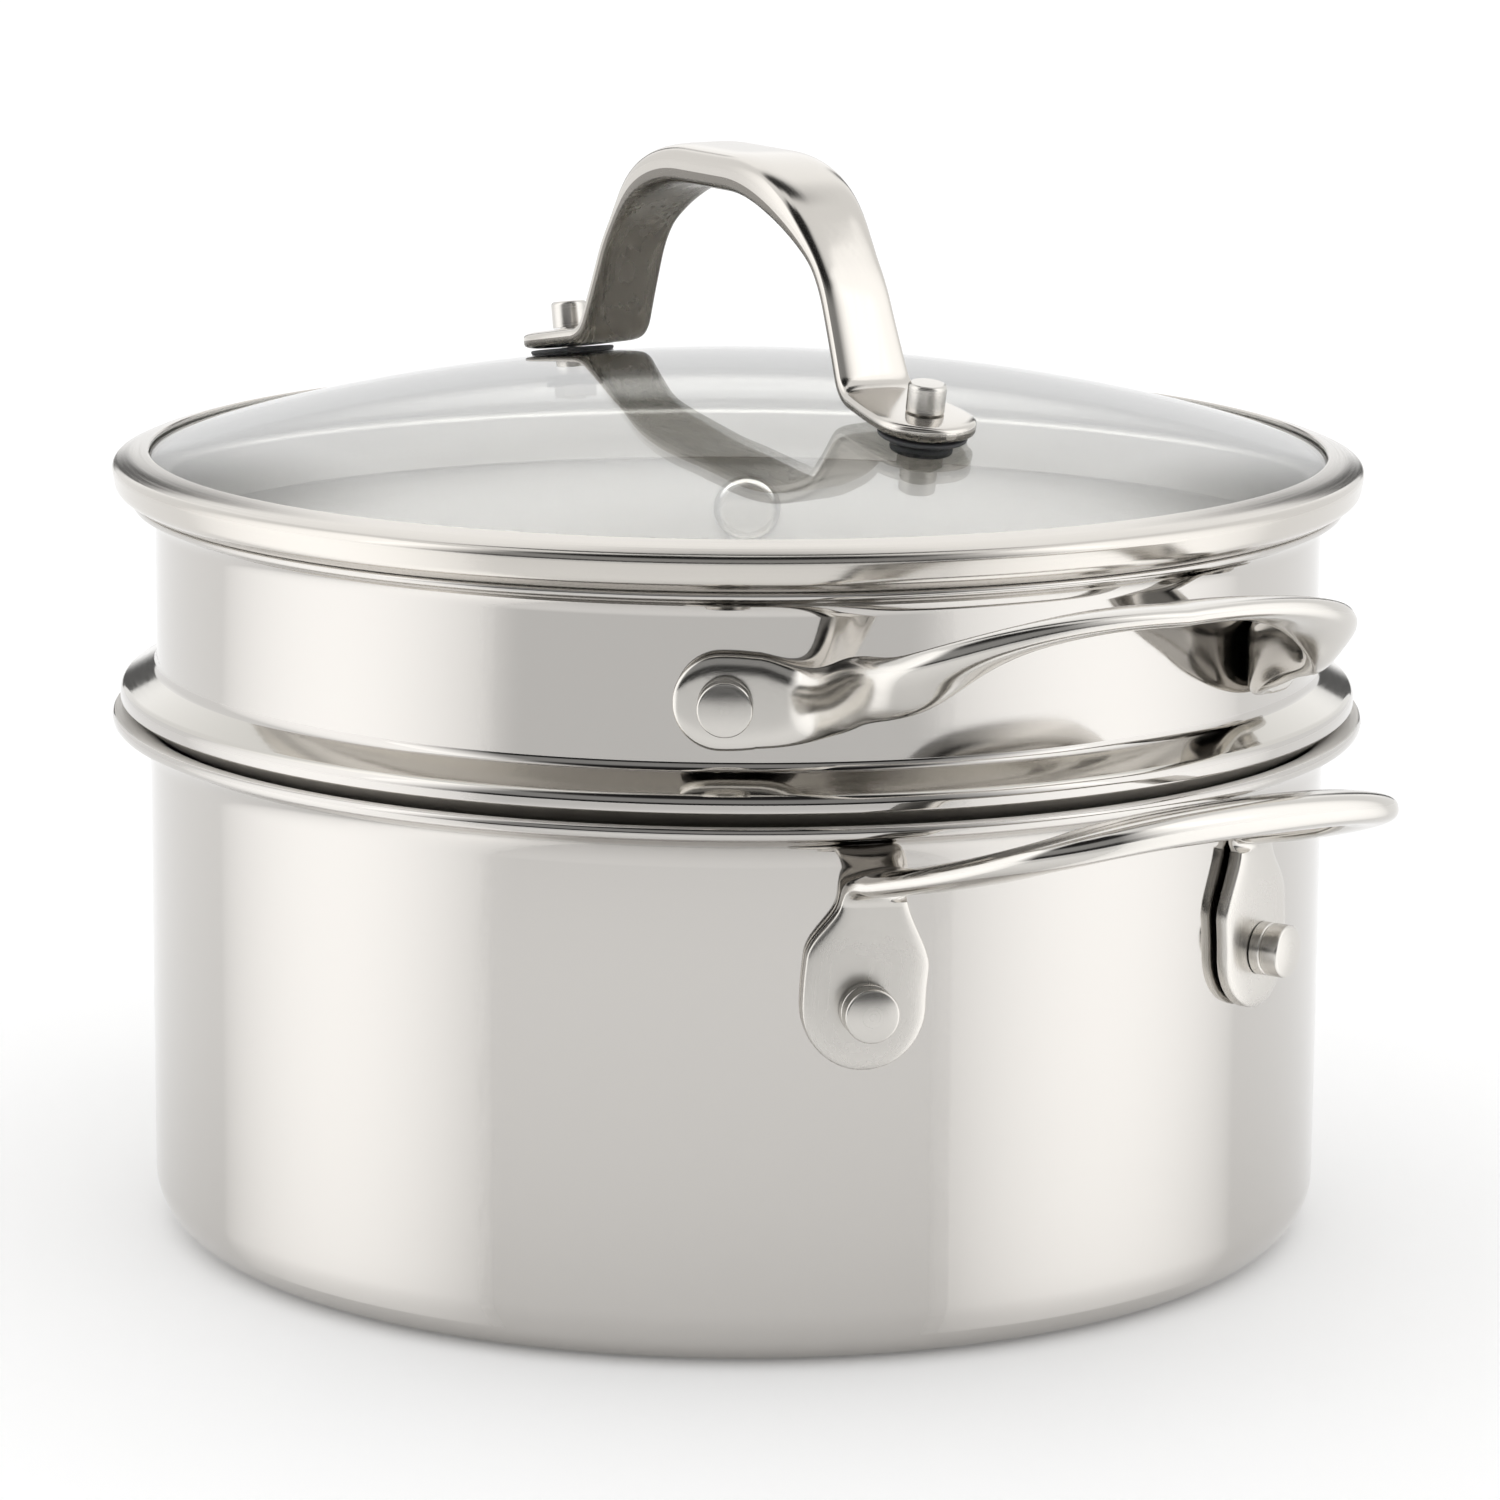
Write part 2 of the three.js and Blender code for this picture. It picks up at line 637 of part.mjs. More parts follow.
// Where the lid's studs go through the glass: a group whose +Z leaves the dome squarely.
function studPlace(side) {
  const place = new THREE.Group();
  place.position.set(side * LID_STUD_REACH, 0, domeHeight(LID_STUD_REACH));
  place.rotation.y = side * Math.asin(LID_STUD_REACH / DOME_RADIUS);
  place.updateMatrix();
  return place;
}

// Heights along a stud, measured from the glass.
const PAD_LOW = CONTACT_GAP + GASKET_THICKNESS + CONTACT_GAP;
const PAD_TOP = PAD_LOW + 2 * LID_STRAP_HALF;
const WASHER_TOP = -GLASS_THICKNESS - CONTACT_GAP;
const NUT_TOP = WASHER_TOP - WASHER_THICKNESS - CONTACT_GAP;
const STUD_END = NUT_TOP - NUT_HEIGHT - STUD_TAIL;

function studBore() {
  return drill(STUD_SHANK_RADIUS + HOLE_CLEARANCE, STUD_DRILL);
}

// Arched strap along X, built from its pad at -X to its pad at +X.
function lidHandle() {
  const slope = Math.asin(LID_STUD_REACH / DOME_RADIUS);
  const middle = PAD_LOW + LID_STRAP_HALF;
  const pad = new THREE.Vector2(LID_STUD_REACH, domeHeight(LID_STUD_REACH));
  pad.add(new THREE.Vector2(Math.sin(slope), Math.cos(slope)).multiplyScalar(middle));
  const outward = new THREE.Vector2(Math.cos(slope), -Math.sin(slope));
  const foot = [LID_LEG_FOOT, pad.y + (pad.x - LID_LEG_FOOT) * Math.tan(slope), LID_FOOT_RADIUS];
  const line = roundCorners(
    [
      [pad.x, pad.y],
      foot,
      [LID_LEG_TOP, LID_LEG_HEIGHT, LID_LEG_RADIUS],
      [LID_TOP_HALF, LID_TOP_HEIGHT, LID_SHOULDER_RADIUS],
      [0, LID_TOP_HEIGHT],
    ],
    ARCH_STEP,
  );
  const station = (spot, width, top) => ({
    centre: new THREE.Vector3(-spot.x, 0, spot.y),
    out: new THREE.Vector3(0, -1, 0),
    width,
    upper: lerp(LID_STRAP_HALF, LID_TOP_CROWN, top),
    lower: lerp(LID_STRAP_HALF, LID_TOP_BELLY, top),
    squareness: ARCH_SQUARENESS,
  });
  const stations = roundEnd(LID_PAD_RADIUS, (offset) => (
    station(pad.clone().addScaledVector(outward, -offset), 0, 0)
  ));
  for (const spot of line.slice(1)) {
    const leg = smooth(pad.x - spot.x, 0, pad.x - LID_LEG_TOP);
    const top = smooth(spot.y, LID_LEG_HEIGHT, LID_TOP_HEIGHT);
    const width = lerp(lerp(2 * LID_PAD_RADIUS, LID_LEG_WIDTH, leg), LID_TOP_WIDTH, top);
    stations.push(station(spot, width, top));
  }
  setDirections(stations);
  stations.at(-1).along.set(1, 0, 0);
  const half = stations.map(ring);
  const flip = new THREE.Vector3(-1, 1, 1);
  const back = half.slice(0, -1).reverse();
  const arch = loft([...half, ...back.map((points) => points.map((p) => p.clone().multiply(flip)))]);
  return cut(arch, [-1, 1].map((side) => studBore().applyMatrix4(studPlace(side).matrix)));
}

// Stud along +Z with z = 0 on the glass: a head above the pad and a shank through the nut.
function stud() {
  const seat = PAD_TOP + CONTACT_GAP;
  const top = seat + STUD_HEAD_HEIGHT;
  const points = roundCorners([
    [0, STUD_END],
    [STUD_SHANK_RADIUS, STUD_END],
    [STUD_SHANK_RADIUS, seat],
    [STUD_HEAD_RADIUS, seat],
    [STUD_HEAD_RADIUS, top - STUD_HEAD_CHAMFER],
    [STUD_HEAD_RADIUS - STUD_HEAD_CHAMFER, top],
    [0, top],
  ]);
  return revolve(points, SMALL_SEGMENTS);
}

// Flat ring round a stud.
function collar(radius, low, high) {
  const bore = STUD_SHANK_RADIUS + HOLE_CLEARANCE;
  return revolveRing([[bore, low], [radius, low], [radius, high], [bore, high]], SMALL_SEGMENTS);
}

// Six-sided nut round a stud.
function nut() {
  const block = new THREE.CylinderGeometry(NUT_RADIUS, NUT_RADIUS, NUT_HEIGHT, 6);
  block.rotateX(Math.PI / 2).translate(0, 0, NUT_TOP - NUT_HEIGHT / 2);
  return cut(weld(block), [studBore()]);
}

function addMesh(parent, name, geometry, material) {
  const mesh = new THREE.Mesh(geometry, material);
  mesh.name = name;
  parent.add(mesh);
  return mesh;
}

// Adds two opposite handles and their four rivets to a vessel.
function addHandles(parent, name, handle, pin, spread, earRadius, height) {
  ['a', 'b'].forEach((letter, i) => {
    const place = new THREE.Group();
    place.rotation.z = i * Math.PI;
    parent.add(place);
    addMesh(place, `${name}_handle_${letter}`, handle, polished());
    [-1, 1].forEach((side, k) => {
      const mesh = addMesh(place, `${name}_rivet_${letter}${k + 1}`, pin, satin());
      const angle = side * rad(spread);
      mesh.position.set(earRadius * Math.cos(angle), earRadius * Math.sin(angle), height);
      mesh.rotation.z = angle;
    });
  });
}

// Bores for the rivets of both handles through a vessel's wall.
function rivetBores(spread, radius, height) {
  const angles = [-spread, spread, 180 - spread, 180 + spread];
  return angles.map((angle) => wallDrill(rad(angle), radius, height));
}

function buildPot() {
  const group = new THREE.Group();
  const bores = rivetBores(POT_RIVET_ANGLE, POT_RADIUS, POT_RIVET_HEIGHT);
  const body = cut(revolve(potOutline(), ROUND_SEGMENTS), bores);
  addMesh(group, 'pot_body', body, polished());
  const earFace = POT_RADIUS + CONTACT_GAP + POT_EAR_THICKNESS;
  const pin = rivet(POT_EAR_THICKNESS, POT_SHEET);
  addHandles(group, 'pot', potHandle(), pin, POT_RIVET_ANGLE, earFace, POT_RIVET_HEIGHT);
  return group;
}

function buildSteamer() {
  const group = new THREE.Group();
  const bores = rivetBores(STEAMER_RIVET_ANGLE, STEAMER_RADIUS, STEAMER_RIVET_HEIGHT);
  const basket = revolve(steamerOutline(), ROUND_SEGMENTS);
  addMesh(group, 'steamer_body', cut(basket, [...bores, ...steamDrills()]), polished());
  const earFace = STEAMER_RADIUS + CONTACT_GAP + STEAMER_EAR_THICKNESS;
  const pin = rivet(STEAMER_EAR_THICKNESS, STEAMER_SHEET);
  const height = STEAMER_RIVET_HEIGHT;
  addHandles(group, 'steamer', steamerHandle(), pin, STEAMER_RIVET_ANGLE, earFace, height);
  return group;
}

function buildLid() {
  const group = new THREE.Group();
  const places = [-1, 1].map(studPlace);
  const bores = places.map((place) => studBore().applyMatrix4(place.matrix));
  addMesh(group, 'lid_glass', cut(revolve(glassOutline(), ROUND_SEGMENTS), bores), glass());
  addMesh(group, 'lid_rim', revolveRing(rimCorners(), ROUND_SEGMENTS), satin());
  addMesh(group, 'lid_handle', lidHandle(), satin());
  const gasket = collar(GASKET_RADIUS, CONTACT_GAP, CONTACT_GAP + GASKET_THICKNESS);
  const washer = collar(WASHER_RADIUS, WASHER_TOP - WASHER_THICKNESS, WASHER_TOP);
  places.forEach((place, i) => {
    const number = i + 1;
    group.add(place);
    addMesh(place, `lid_stud_${number}`, stud(), satin());
    addMesh(place, `lid_gasket_${number}`, gasket, silicone());
    addMesh(place, `lid_washer_${number}`, washer, silicone());
    addMesh(place, `lid_nut_${number}`, nut(), satin());
  });
  return group;
}

const pot = buildPot();
const steamer = buildSteamer();
const lid = buildLid();
steamer.position.z = POT_HEIGHT;
steamer.rotation.z = rad(STEAMER_TURN);
lid.position.z = LID_SEAT;
steamer.add(lid);

const saucepot = new THREE.Group();
saucepot.name = 'saucepot';
saucepot.add(pot, steamer);

export default saucepot;
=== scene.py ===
import math

import bpy
from mathutils import Matrix, Vector


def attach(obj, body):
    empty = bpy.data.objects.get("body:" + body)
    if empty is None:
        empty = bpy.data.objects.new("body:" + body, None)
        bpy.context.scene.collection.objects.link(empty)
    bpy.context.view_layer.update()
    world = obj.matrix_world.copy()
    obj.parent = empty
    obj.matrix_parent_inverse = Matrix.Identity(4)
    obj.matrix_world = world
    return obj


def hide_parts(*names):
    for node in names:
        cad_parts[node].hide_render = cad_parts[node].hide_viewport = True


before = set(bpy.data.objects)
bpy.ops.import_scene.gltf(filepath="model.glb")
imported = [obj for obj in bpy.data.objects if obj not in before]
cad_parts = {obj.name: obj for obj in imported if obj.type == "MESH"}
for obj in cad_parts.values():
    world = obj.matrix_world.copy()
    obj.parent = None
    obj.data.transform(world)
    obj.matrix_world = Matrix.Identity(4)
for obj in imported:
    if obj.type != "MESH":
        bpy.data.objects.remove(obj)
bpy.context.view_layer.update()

MM = 0.001
UP = Vector((0, 0, 1))

# Sizes in millimetres and angles in degrees. They follow the CAD part's, but some edges are rounder,
# the steamer's ears are smaller, and the lid handle's pads lie lower, on thinner gaskets.
GAP = 0.3

# Pot body
POT_R = 108
POT_SHEET = 2.2
POT_CORNER = 10
POT_TOP = 96.3
POT_LIP = 6.2
POT_FLARE = 6

# Pot handles
POT_RIVET_ANGLE = 22.4
POT_RIVET_Z = 64.3
POT_EAR_R = 10.7
POT_EAR_SHOULDER = 7.4
POT_EAR_RISE = 18.1
POT_EAR_LEAN = 1.5
POT_NECK = 11.3
POT_NECK_BLEND = 1
POT_NECK_SATIN = 0.5
POT_BEND = 3.8
POT_LEG_TURN = 31.4
POT_REACH = 39.5
POT_RISE = 14.1
POT_LEG_PULL = Vector((40, 9.5))
POT_BAR_PULL = Vector((39.9, 0.2))
POT_BAR = 12.6
POT_LEG_THICK = 4.4
POT_BAR_THICK = 6.7
POT_BAR_TILT = 10.8

# Steamer basket
STEAMER_R = 106.7
STEAMER_SHEET = 1.2
STEAMER_TURN = -3.4
STEAMER_BASE = POT_TOP - 36.3
STEAMER_TOP = POT_TOP + 39
STEAMER_CORNER = 6
STEAMER_LIP = 3.8
STEAMER_FLARE = 3.6
SKIRT_R = POT_R - POT_SHEET - 1.4
SKIRT_BEND = 3
FOOT_R = SKIRT_R - 3.4
BEAD_R = POT_R + POT_LIP - 0.8
BEAD_LOW = POT_TOP + 2.3
BEAD_HIGH = POT_TOP + 4.8
BEAD_ROOT = POT_TOP + 8.6
BEAD_LOW_ROUND = 0.6
BEAD_HIGH_ROUND = 2.1
BEAD_ROOT_ROUND = 2
SHELF_R = STEAMER_R + 1
SHELF_LOW = BEAD_HIGH + 0.1
SEAT_GAP = 0.45
PLATE_R = 90
PLATE_EDGE = 0.25
STEAM_HOLE_R = 3.4
STEAM_HOLE_PITCH = 21
STEAM_HOLE_RINGS = 3
STEAM_HOLES_ADDED = 6

# Steamer handles. Shares are of the way along the curve from an ear to the middle of the bar.
STEAMER_RIVET_ANGLE = 31.4
STEAMER_RIVET_Z = POT_TOP + 20.2
STEAMER_EAR_R = 8.2
STEAMER_EAR_LONGER = 0.7
STEAMER_EAR_END = 22
STEAMER_EAR_RUN = 5.5
STEAMER_SATIN = 0.3
STEAMER_REACH = 33.6
STEAMER_RISE = 17.5
STEAMER_LEG_PULL = Vector((25, -2.9))
STEAMER_BAR_PULL = Vector((67.2, 3.3))
STEAMER_SAG = 3.9
STEAMER_NECK = 11.6
STEAMER_ELBOW = 10.7
STEAMER_BAR = 12
STEAMER_NECK_THICK = 5.2
STEAMER_ELBOW_THICK = 6.2
STEAMER_BAR_THICK = 3.8
STEAMER_BAR_TILT = 5.5
NECK_SHARE = 0.25
ELBOW_SHARE = 0.6
TWIST_FROM = 0.22
SAG_FROM = 0.31
SAG_MOST = 0.61

# Ears and rivets
EAR_THICK = 3
RIVET_R = 4.7
RIVET_LOW = 0.1
RIVET_HIGH = 5.7
RIVET_CROWN = 0.5
RIVET_CROWN_SHARE = 0.9
RIVET_EDGE = 0.5
RIVET_SHANK_R = 2.5
RIVET_GROOVE = 2.1
GROOVE_DEEP = 0.35
GROOVE_HALF = 0.25
GROOVE_ROUND = 0.3
RIVET_INNER_GAP = 0.5
RIVET_INNER_R = 6.8
RIVET_INNER_HIGH = 2.2
RIVET_INNER_ROUND = 2

# Lid
LID_Z = STEAMER_TOP + GAP
LID_SKIRT_R = STEAMER_R - STEAMER_SHEET - 1.3
LID_SKIRT_SHEET = 1
LID_SKIRT_LOW = LID_Z - 8.1
LID_SKIRT_TIP = 0.3
LID_SKIRT_TIP_ROUND = 0.4
LID_SKIRT_EDGE_ROUND = 0.3
LID_SKIRT_TOP_ROUND = 0.6
LID_SKIRT_INNER_LOW = LID_SKIRT_LOW + 0.1
RIM_R = 114.5
RIM_SEAT_R = RIM_R - 3.4
RIM_SEAT_ROUND = 0.8
RIM_LOW_R = RIM_R - 0.7
RIM_LOW_Z = LID_Z + 1.7
RIM_LOW_ROUND = 2
RIM_SHOULDER_R = RIM_R + 0.05
RIM_SHOULDER_Z = LID_Z + 6.2
RIM_SHOULDER_ROUND = 1.7
RIM_TOP_R = RIM_R - 3.2
RIM_TOP_Z = LID_Z + 7.6
RIM_TOP_ROUND = 9
RIM_FACE_R = RIM_R - 6.8
RIM_FACE_SHEET = 0.8
RIM_FACE_ROUND = 0.3
RIM_CHANNEL_R = RIM_R - 3.9
RIM_FLOOR = LID_Z + 2.1
GLASS_R = RIM_CHANNEL_R - 0.4
GLASS_THICK = 4
DOME_R = 370
DOME_Z = RIM_FLOOR + GAP - math.sqrt((DOME_R - GLASS_THICK) ** 2 - GLASS_R**2)

# Lid handle
STUD_REACH = 63.2
PAD_R = 9.2
STRAP_HALF = 1.7
ARCH_FOOT = 47.4
ARCH_LEG = 38.3
ARCH_LEG_Z = DOME_Z + DOME_R + 21
ARCH_TOP = 22
ARCH_TOP_Z = DOME_Z + DOME_R + 35.2
ARCH_FOOT_ROUND = 6
ARCH_LEG_ROUND = 28
ARCH_SHOULDER_ROUND = 37
ARCH_LEG_WIDTH = 13.2
ARCH_TOP_WIDTH = 17.6
ARCH_CROWN = 4.4
ARCH_BELLY = 3

# Studs, gaskets, washers and nuts
STUD_SHANK_R = 2
STUD_HEAD_R = 3.4
STUD_HEAD_HIGH = 5
STUD_TAIL = 0.4
STUD_END_ROUND = 0.2
STUD_HEAD_ROUND = 0.7
BORE_R = STUD_SHANK_R + 0.25
GASKET_THICK = 0.5
GASKET_LOW = 0.05
GASKET_LOW_R = 7.8
GASKET_TOP_R = 8.1
GASKET_LOW_ROUND = 0.2
SEAL_ROUND = 0.3
WASHER_R = 5.5
WASHER_THICK = 1
NUT_R = 4
NUT_HIGH = 2.4
NUT_ROUND = 0.4

# Heights along a stud, from the glass
GASKET_TOP = GAP + GASKET_THICK
PAD_MIDDLE = GASKET_TOP + GAP + STRAP_HALF
STUD_SEAT = PAD_MIDDLE + STRAP_HALF + GAP
STUD_TOP = STUD_SEAT + STUD_HEAD_HIGH
WASHER_TOP = -GLASS_THICK - GAP
WASHER_LOW = WASHER_TOP - WASHER_THICK
NUT_TOP = WASHER_LOW - GAP
NUT_LOW = NUT_TOP - NUT_HIGH

# Squareness of a strap's section: a low number has flat faces, 1 is an ellipse
EAR_SQUARE = 0.35
CROWNED_SQUARE = 0.6
LOOP_SQUARE = 0.8
ARCH_SQUARE = 0.5

# Fineness of the meshes: counts of faces and steps, degrees for each step of an arc
WALL_SEGMENTS = 256
PLATE_SEGMENTS = 192
SEAL_SEGMENTS = 64
PIN_SEGMENTS = 48
HOLE_SEGMENTS = 32
NUT_SIDES = 6
STRAP_SIDES = 48
DOME_STEPS = 40
EAR_STEPS = 24
BEND_STEPS = 12
RUN_STEPS = 8
END_STEPS = 14
LOOP_STEPS = 56
CROWN_STEPS = 10
SHEET_ARC = 9
RIM_ARC = 6
RIVET_ARC = 12
SEAL_ARC = 15
ARCH_ARC = 3
ARCH_STEP_LONG = 1.2
SHARP_ANGLE = 40
EDGE_TURNS = (0.4, 0.9, 1.57, 2.2, 2.7)
LEAST_ROUND = 0.25
SAME_SPOT = 1e-4
ON_AXIS = 1e-6
FOOT_SLACK = 0.01

# Light that the floor adds to what it reflects, as the eye, metal and glass see it
FLOOR_GLOW = 0.09
# Noise lies mostly between these values
NOISE_LOW = 0.3
NOISE_HIGH = 0.7
NOISE_DETAIL = 3
# Share of a height that turned lines count as radius, so they are twice as wide up a wall
WALL_CLIMB = 0.5


# Materials
def linear(code):
    """Linear colour of an sRGB hex code."""
    parts = [int(code[i : i + 2], 16) / 255 for i in (1, 3, 5)]
    return [c / 12.92 if c <= 0.04045 else ((c + 0.055) / 1.055) ** 2.4 for c in parts] + [1]


def add(tree, kind, inputs=None, **settings):
    """Adds a node with its settings. An input is a value, or the socket that it is linked to."""
    made = tree.nodes.new(kind)
    for key, value in settings.items():
        setattr(made, key, value)
    for key, value in (inputs or {}).items():
        if isinstance(value, bpy.types.NodeSocket):
            tree.links.new(value, made.inputs[key])
        else:
            made.inputs[key].default_value = value
    return made


def surface(name, colour, **inputs):
    """A material with one principled shader. Returns it with its tree and shader."""
    material = bpy.data.materials.new(name)
    material.use_nodes = True
    tree = material.node_tree
    shader = tree.nodes["Principled BSDF"]
    shader.inputs["Base Color"].default_value = linear(colour)
    for key, value in inputs.items():
        shader.inputs[key.replace("_", " ")].default_value = value
    return material, tree, shader


def noise(tree, place, size):
    """Noise at a place, whose patches have this size in millimetres along each axis."""
    scale = [1000 / length for length in size]
    spot = add(tree, "ShaderNodeMapping", {"Vector": place, "Scale": scale})
    inputs = {"Vector": spot.outputs[0], "Scale": 1, "Detail": NOISE_DETAIL}
    return add(tree, "ShaderNodeTexNoise", inputs).outputs["Fac"]


def turned(tree, line, length):
    """Noise in rings round the pot's axis: lines this fine on a level face, and this long, in
    millimetres."""
    place = add(tree, "ShaderNodeTexCoord").outputs["Object"]
    x, y, z = add(tree, "ShaderNodeSeparateXYZ", {0: place}).outputs
    flat = add(tree, "ShaderNodeCombineXYZ", {0: x, 1: y}).outputs[0]
    radius = add(tree, "ShaderNodeVectorMath", {0: flat}, operation="LENGTH").outputs["Value"]
    heights = {0: z, 1: WALL_CLIMB, 2: radius}
    climb = add(tree, "ShaderNodeMath", heights, operation="MULTIPLY_ADD").outputs[0]
    spot = add(tree, "ShaderNodeCombineXYZ", {0: x, 1: y, 2: climb}).outputs[0]
    return noise(tree, spot, (length, length, line))


def drawn(tree, line, length):
    """Noise in lines along a strap, this fine and this long, in millimetres."""
    place = add(tree, "ShaderNodeTexCoord").outputs["UV"]
    return noise(tree, place, (length, line, 1000))


def steel(name, colour, low, high, pattern, relief, satin=0, spread=0):
    """Stainless steel. Its roughness runs from low to high along a pattern of this relief in
    millimetres, and is higher by satin where a piece's vertices say so. A spread above 0 stretches
    reflections across the lines."""
    material, tree, shader = surface(
        name, colour, Metallic=1, Anisotropic=spread, Anisotropic_Rotation=0.25
    )
    tangent = add(tree, "ShaderNodeTangent", direction_type="RADIAL", axis="Z")
    tree.links.new(tangent.outputs[0], shader.inputs["Tangent"])
    grain = pattern(tree)
    ends = {"From Min": NOISE_LOW, "From Max": NOISE_HIGH, "To Min": low, "To Max": high}
    rough = add(tree, "ShaderNodeMapRange", {"Value": grain, **ends}).outputs[0]
    share = add(tree, "ShaderNodeAttribute", attribute_name="satin").outputs["Fac"]
    total = add(tree, "ShaderNodeMath", {0: share, 1: satin, 2: rough}, operation="MULTIPLY_ADD")
    bump = add(tree, "ShaderNodeBump", {"Height": grain, "Strength": 1, "Distance": relief * MM})
    tree.links.new(total.outputs[0], shader.inputs["Roughness"])
    tree.links.new(bump.outputs[0], shader.inputs["Normal"])
    return material


# Real polishing lines are under 0.1 mm wide, too fine to show, so each steel draws them coarser.

# Mirror-bright walls that blur a reflection only a little
POLISHED = steel("polished_stainless_steel", "#c4c1bd", 0.05, 0.09, lambda t: turned(t, 0.6, 60), 0.0002)
# Bright sloping shelf of the bead, with rings of faint lines
BUFFED = steel("buffed_stainless_steel", "#cbc8c2", 0.06, 0.11, lambda t: turned(t, 0.3, 12), 0.0005)
# Rings of fine lines on the lid's rim and the pot's underside
BRUSHED = steel(
    "brushed_stainless_steel", "#cbc7c1", 0.12, 0.2, lambda t: turned(t, 0.3, 40), 0.0006, spread=0.4
)
# Soft satin walls inside the pot, the steamer and the lid's rim, with painted light: their colour is
# lighter than the outer steel's to stand in for light inside
PAINTED_LIGHT_INSIDE = steel(
    "satin_inside_steel_painted_light", "#dedbd6", 0.45, 0.58, lambda t: turned(t, 0.4, 50), 0.001, spread=0.85
)
# The steamer's base, greyer than its walls as painted shade: the darker colour stands in for the shade
# deep inside the steamer
PAINTED_SHADE_BASE = steel("satin_base_steel_painted_shade", "#aca8a2", 0.45, 0.58, lambda t: turned(t, 0.4, 50), 0.001)
# Bright loops that turn satin at their ears, and the rivets' heads inside the walls
CAST = steel("polished_cast_steel", "#cdcac5", 0.09, 0.14, lambda t: drawn(t, 0.4, 12), 0.0003, 0.17)
# Long fine lines along the lid's handle
DRAWN = steel("brushed_strap_steel", "#cdc9c3", 0.12, 0.18, lambda t: drawn(t, 0.3, 25), 0.0003)
# Duller under the lid's handle, where it isn't polished, and darker as painted shade: the colour stands in
# for the shade under the strap
PAINTED_SHADE_UNDERSIDE = steel("unpolished_strap_steel_painted_shade", "#84807a", 0.2, 0.34, lambda t: drawn(t, 1.5, 9), 0.0004)
# Soft grey heads of the rivets and studs, and the nuts
TURNED = steel("satin_rivet_steel", "#cfccc7", 0.2, 0.28, lambda t: drawn(t, 0.3, 20), 0.0002)


def glass_material():
    """Clear lid that shows the steamer inside and mirrors the handle, with a faint haze."""
    material, tree, shader = surface("tempered_glass", "#fcfdfc", IOR=1.52, Transmission_Weight=1)
    place = add(tree, "ShaderNodeTexCoord").outputs["Object"]
    haze = noise(tree, place, (30, 30, 30))
    rough = add(tree, "ShaderNodeMapRange", {"Value": haze, "To Min": 0, "To Max": 0.02})
    tree.links.new(rough.outputs[0], shader.inputs["Roughness"])
    return material


def silicone_material():
    """Dull dark seals under the handle's pads, a little mottled."""
    material, tree, shader = surface("grey_silicone", "#4b4c4e")
    place = add(tree, "ShaderNodeTexCoord").outputs["Object"]
    mottle = noise(tree, place, (1.5, 1.5, 1.5))
    rough = add(tree, "ShaderNodeMapRange", {"Value": mottle, "To Min": 0.5, "To Max": 0.7})
    bump = add(tree, "ShaderNodeBump", {"Height": mottle, "Strength": 1, "Distance": 0.02 * MM})
    tree.links.new(rough.outputs[0], shader.inputs["Roughness"])
    tree.links.new(bump.outputs[0], shader.inputs["Normal"])
    return material


def paper_material():
    """White studio floor, a little lighter to the eye, in metal and through glass."""
    material, tree, shader = surface("white_paper", "#fbfbfb", Roughness=0.9, Specular_IOR_Level=0.1)
    ray = add(tree, "ShaderNodeLightPath").outputs
    seen = add(tree, "ShaderNodeMath", {0: ray["Is Camera Ray"], 1: ray["Is Glossy Ray"]}).outputs[0]
    seen = add(tree, "ShaderNodeMath", {0: seen, 1: ray["Is Transmission Ray"]}, use_clamp=True).outputs[0]
    light = add(tree, "ShaderNodeMath", {0: seen, 1: FLOOR_GLOW}, operation="MULTIPLY").outputs[0]
    shader.inputs["Emission Color"].default_value = (1, 1, 1, 1)
    tree.links.new(light, shader.inputs["Emission Strength"])
    return material


GLASS = glass_material()
SILICONE = silicone_material()
PAPER = paper_material()


# Mesh makers
def smooth(x, low=0.0, high=1.0):
    """Goes from 0 to 1 as x goes from low to high, level at both ends."""
    x = min(max((x - low) / (high - low), 0), 1)
    return x * x * (3 - 2 * x)


def mix(a, b, share):
    """Goes from a to b as share goes from 0 to 1."""
    return a + (b - a) * share


def place_mesh(name, mesh, body, nodes, slot):
    """An object for a mesh, on a body and in place of CAD nodes."""
    made = bpy.data.objects.new(name, mesh)
    bpy.context.scene.collection.objects.link(made)
    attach(made, body)
    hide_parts(*nodes)
    return made


def skin(name, points, faces, uvs, finishes):
    """A smooth mesh with a material for each face. Points and UVs are in millimetres."""
    mesh = bpy.data.meshes.new(name)
    mesh.from_pydata([Vector(p) * MM for p in points], [], faces)
    layer = mesh.uv_layers.new(name="length")
    layer.data.foreach_set("uv", [c * MM for face in uvs for uv in face for c in uv])
    materials = list(dict.fromkeys(finishes))
    for material in materials:
        mesh.materials.append(material)
    mesh.polygons.foreach_set("material_index", [materials.index(f) for f in finishes])
    mesh.polygons.foreach_set("use_smooth", [True] * len(faces))
    mesh.set_sharp_from_angle(angle=math.radians(SHARP_ANGLE))
    return mesh


def rounded(corners, step=SHEET_ARC):
    """Points along corners (x, y, radius), with an arc at each radius."""
    points = []
    for i, (x, y, *rest) in enumerate(corners):
        here = Vector((x, y))
        if not rest or rest[0] <= 0 or i in (0, len(corners) - 1):
            points.append(here)
            continue
        before = (Vector(corners[i - 1][:2]) - here).normalized()
        after = (Vector(corners[i + 1][:2]) - here).normalized()
        half = before.angle(after) / 2
        start = here + before * rest[0] / math.tan(half)
        centre = here + (before + after).normalized() * rest[0] / math.sin(half)
        turn = (math.pi - 2 * half) * -math.copysign(1, before.cross(after))
        steps = max(2, math.ceil(math.degrees(abs(turn)) / step))
        for k in range(steps + 1):
            points.append(centre + Matrix.Rotation(turn * k / steps, 2) @ (start - centre))
    return points


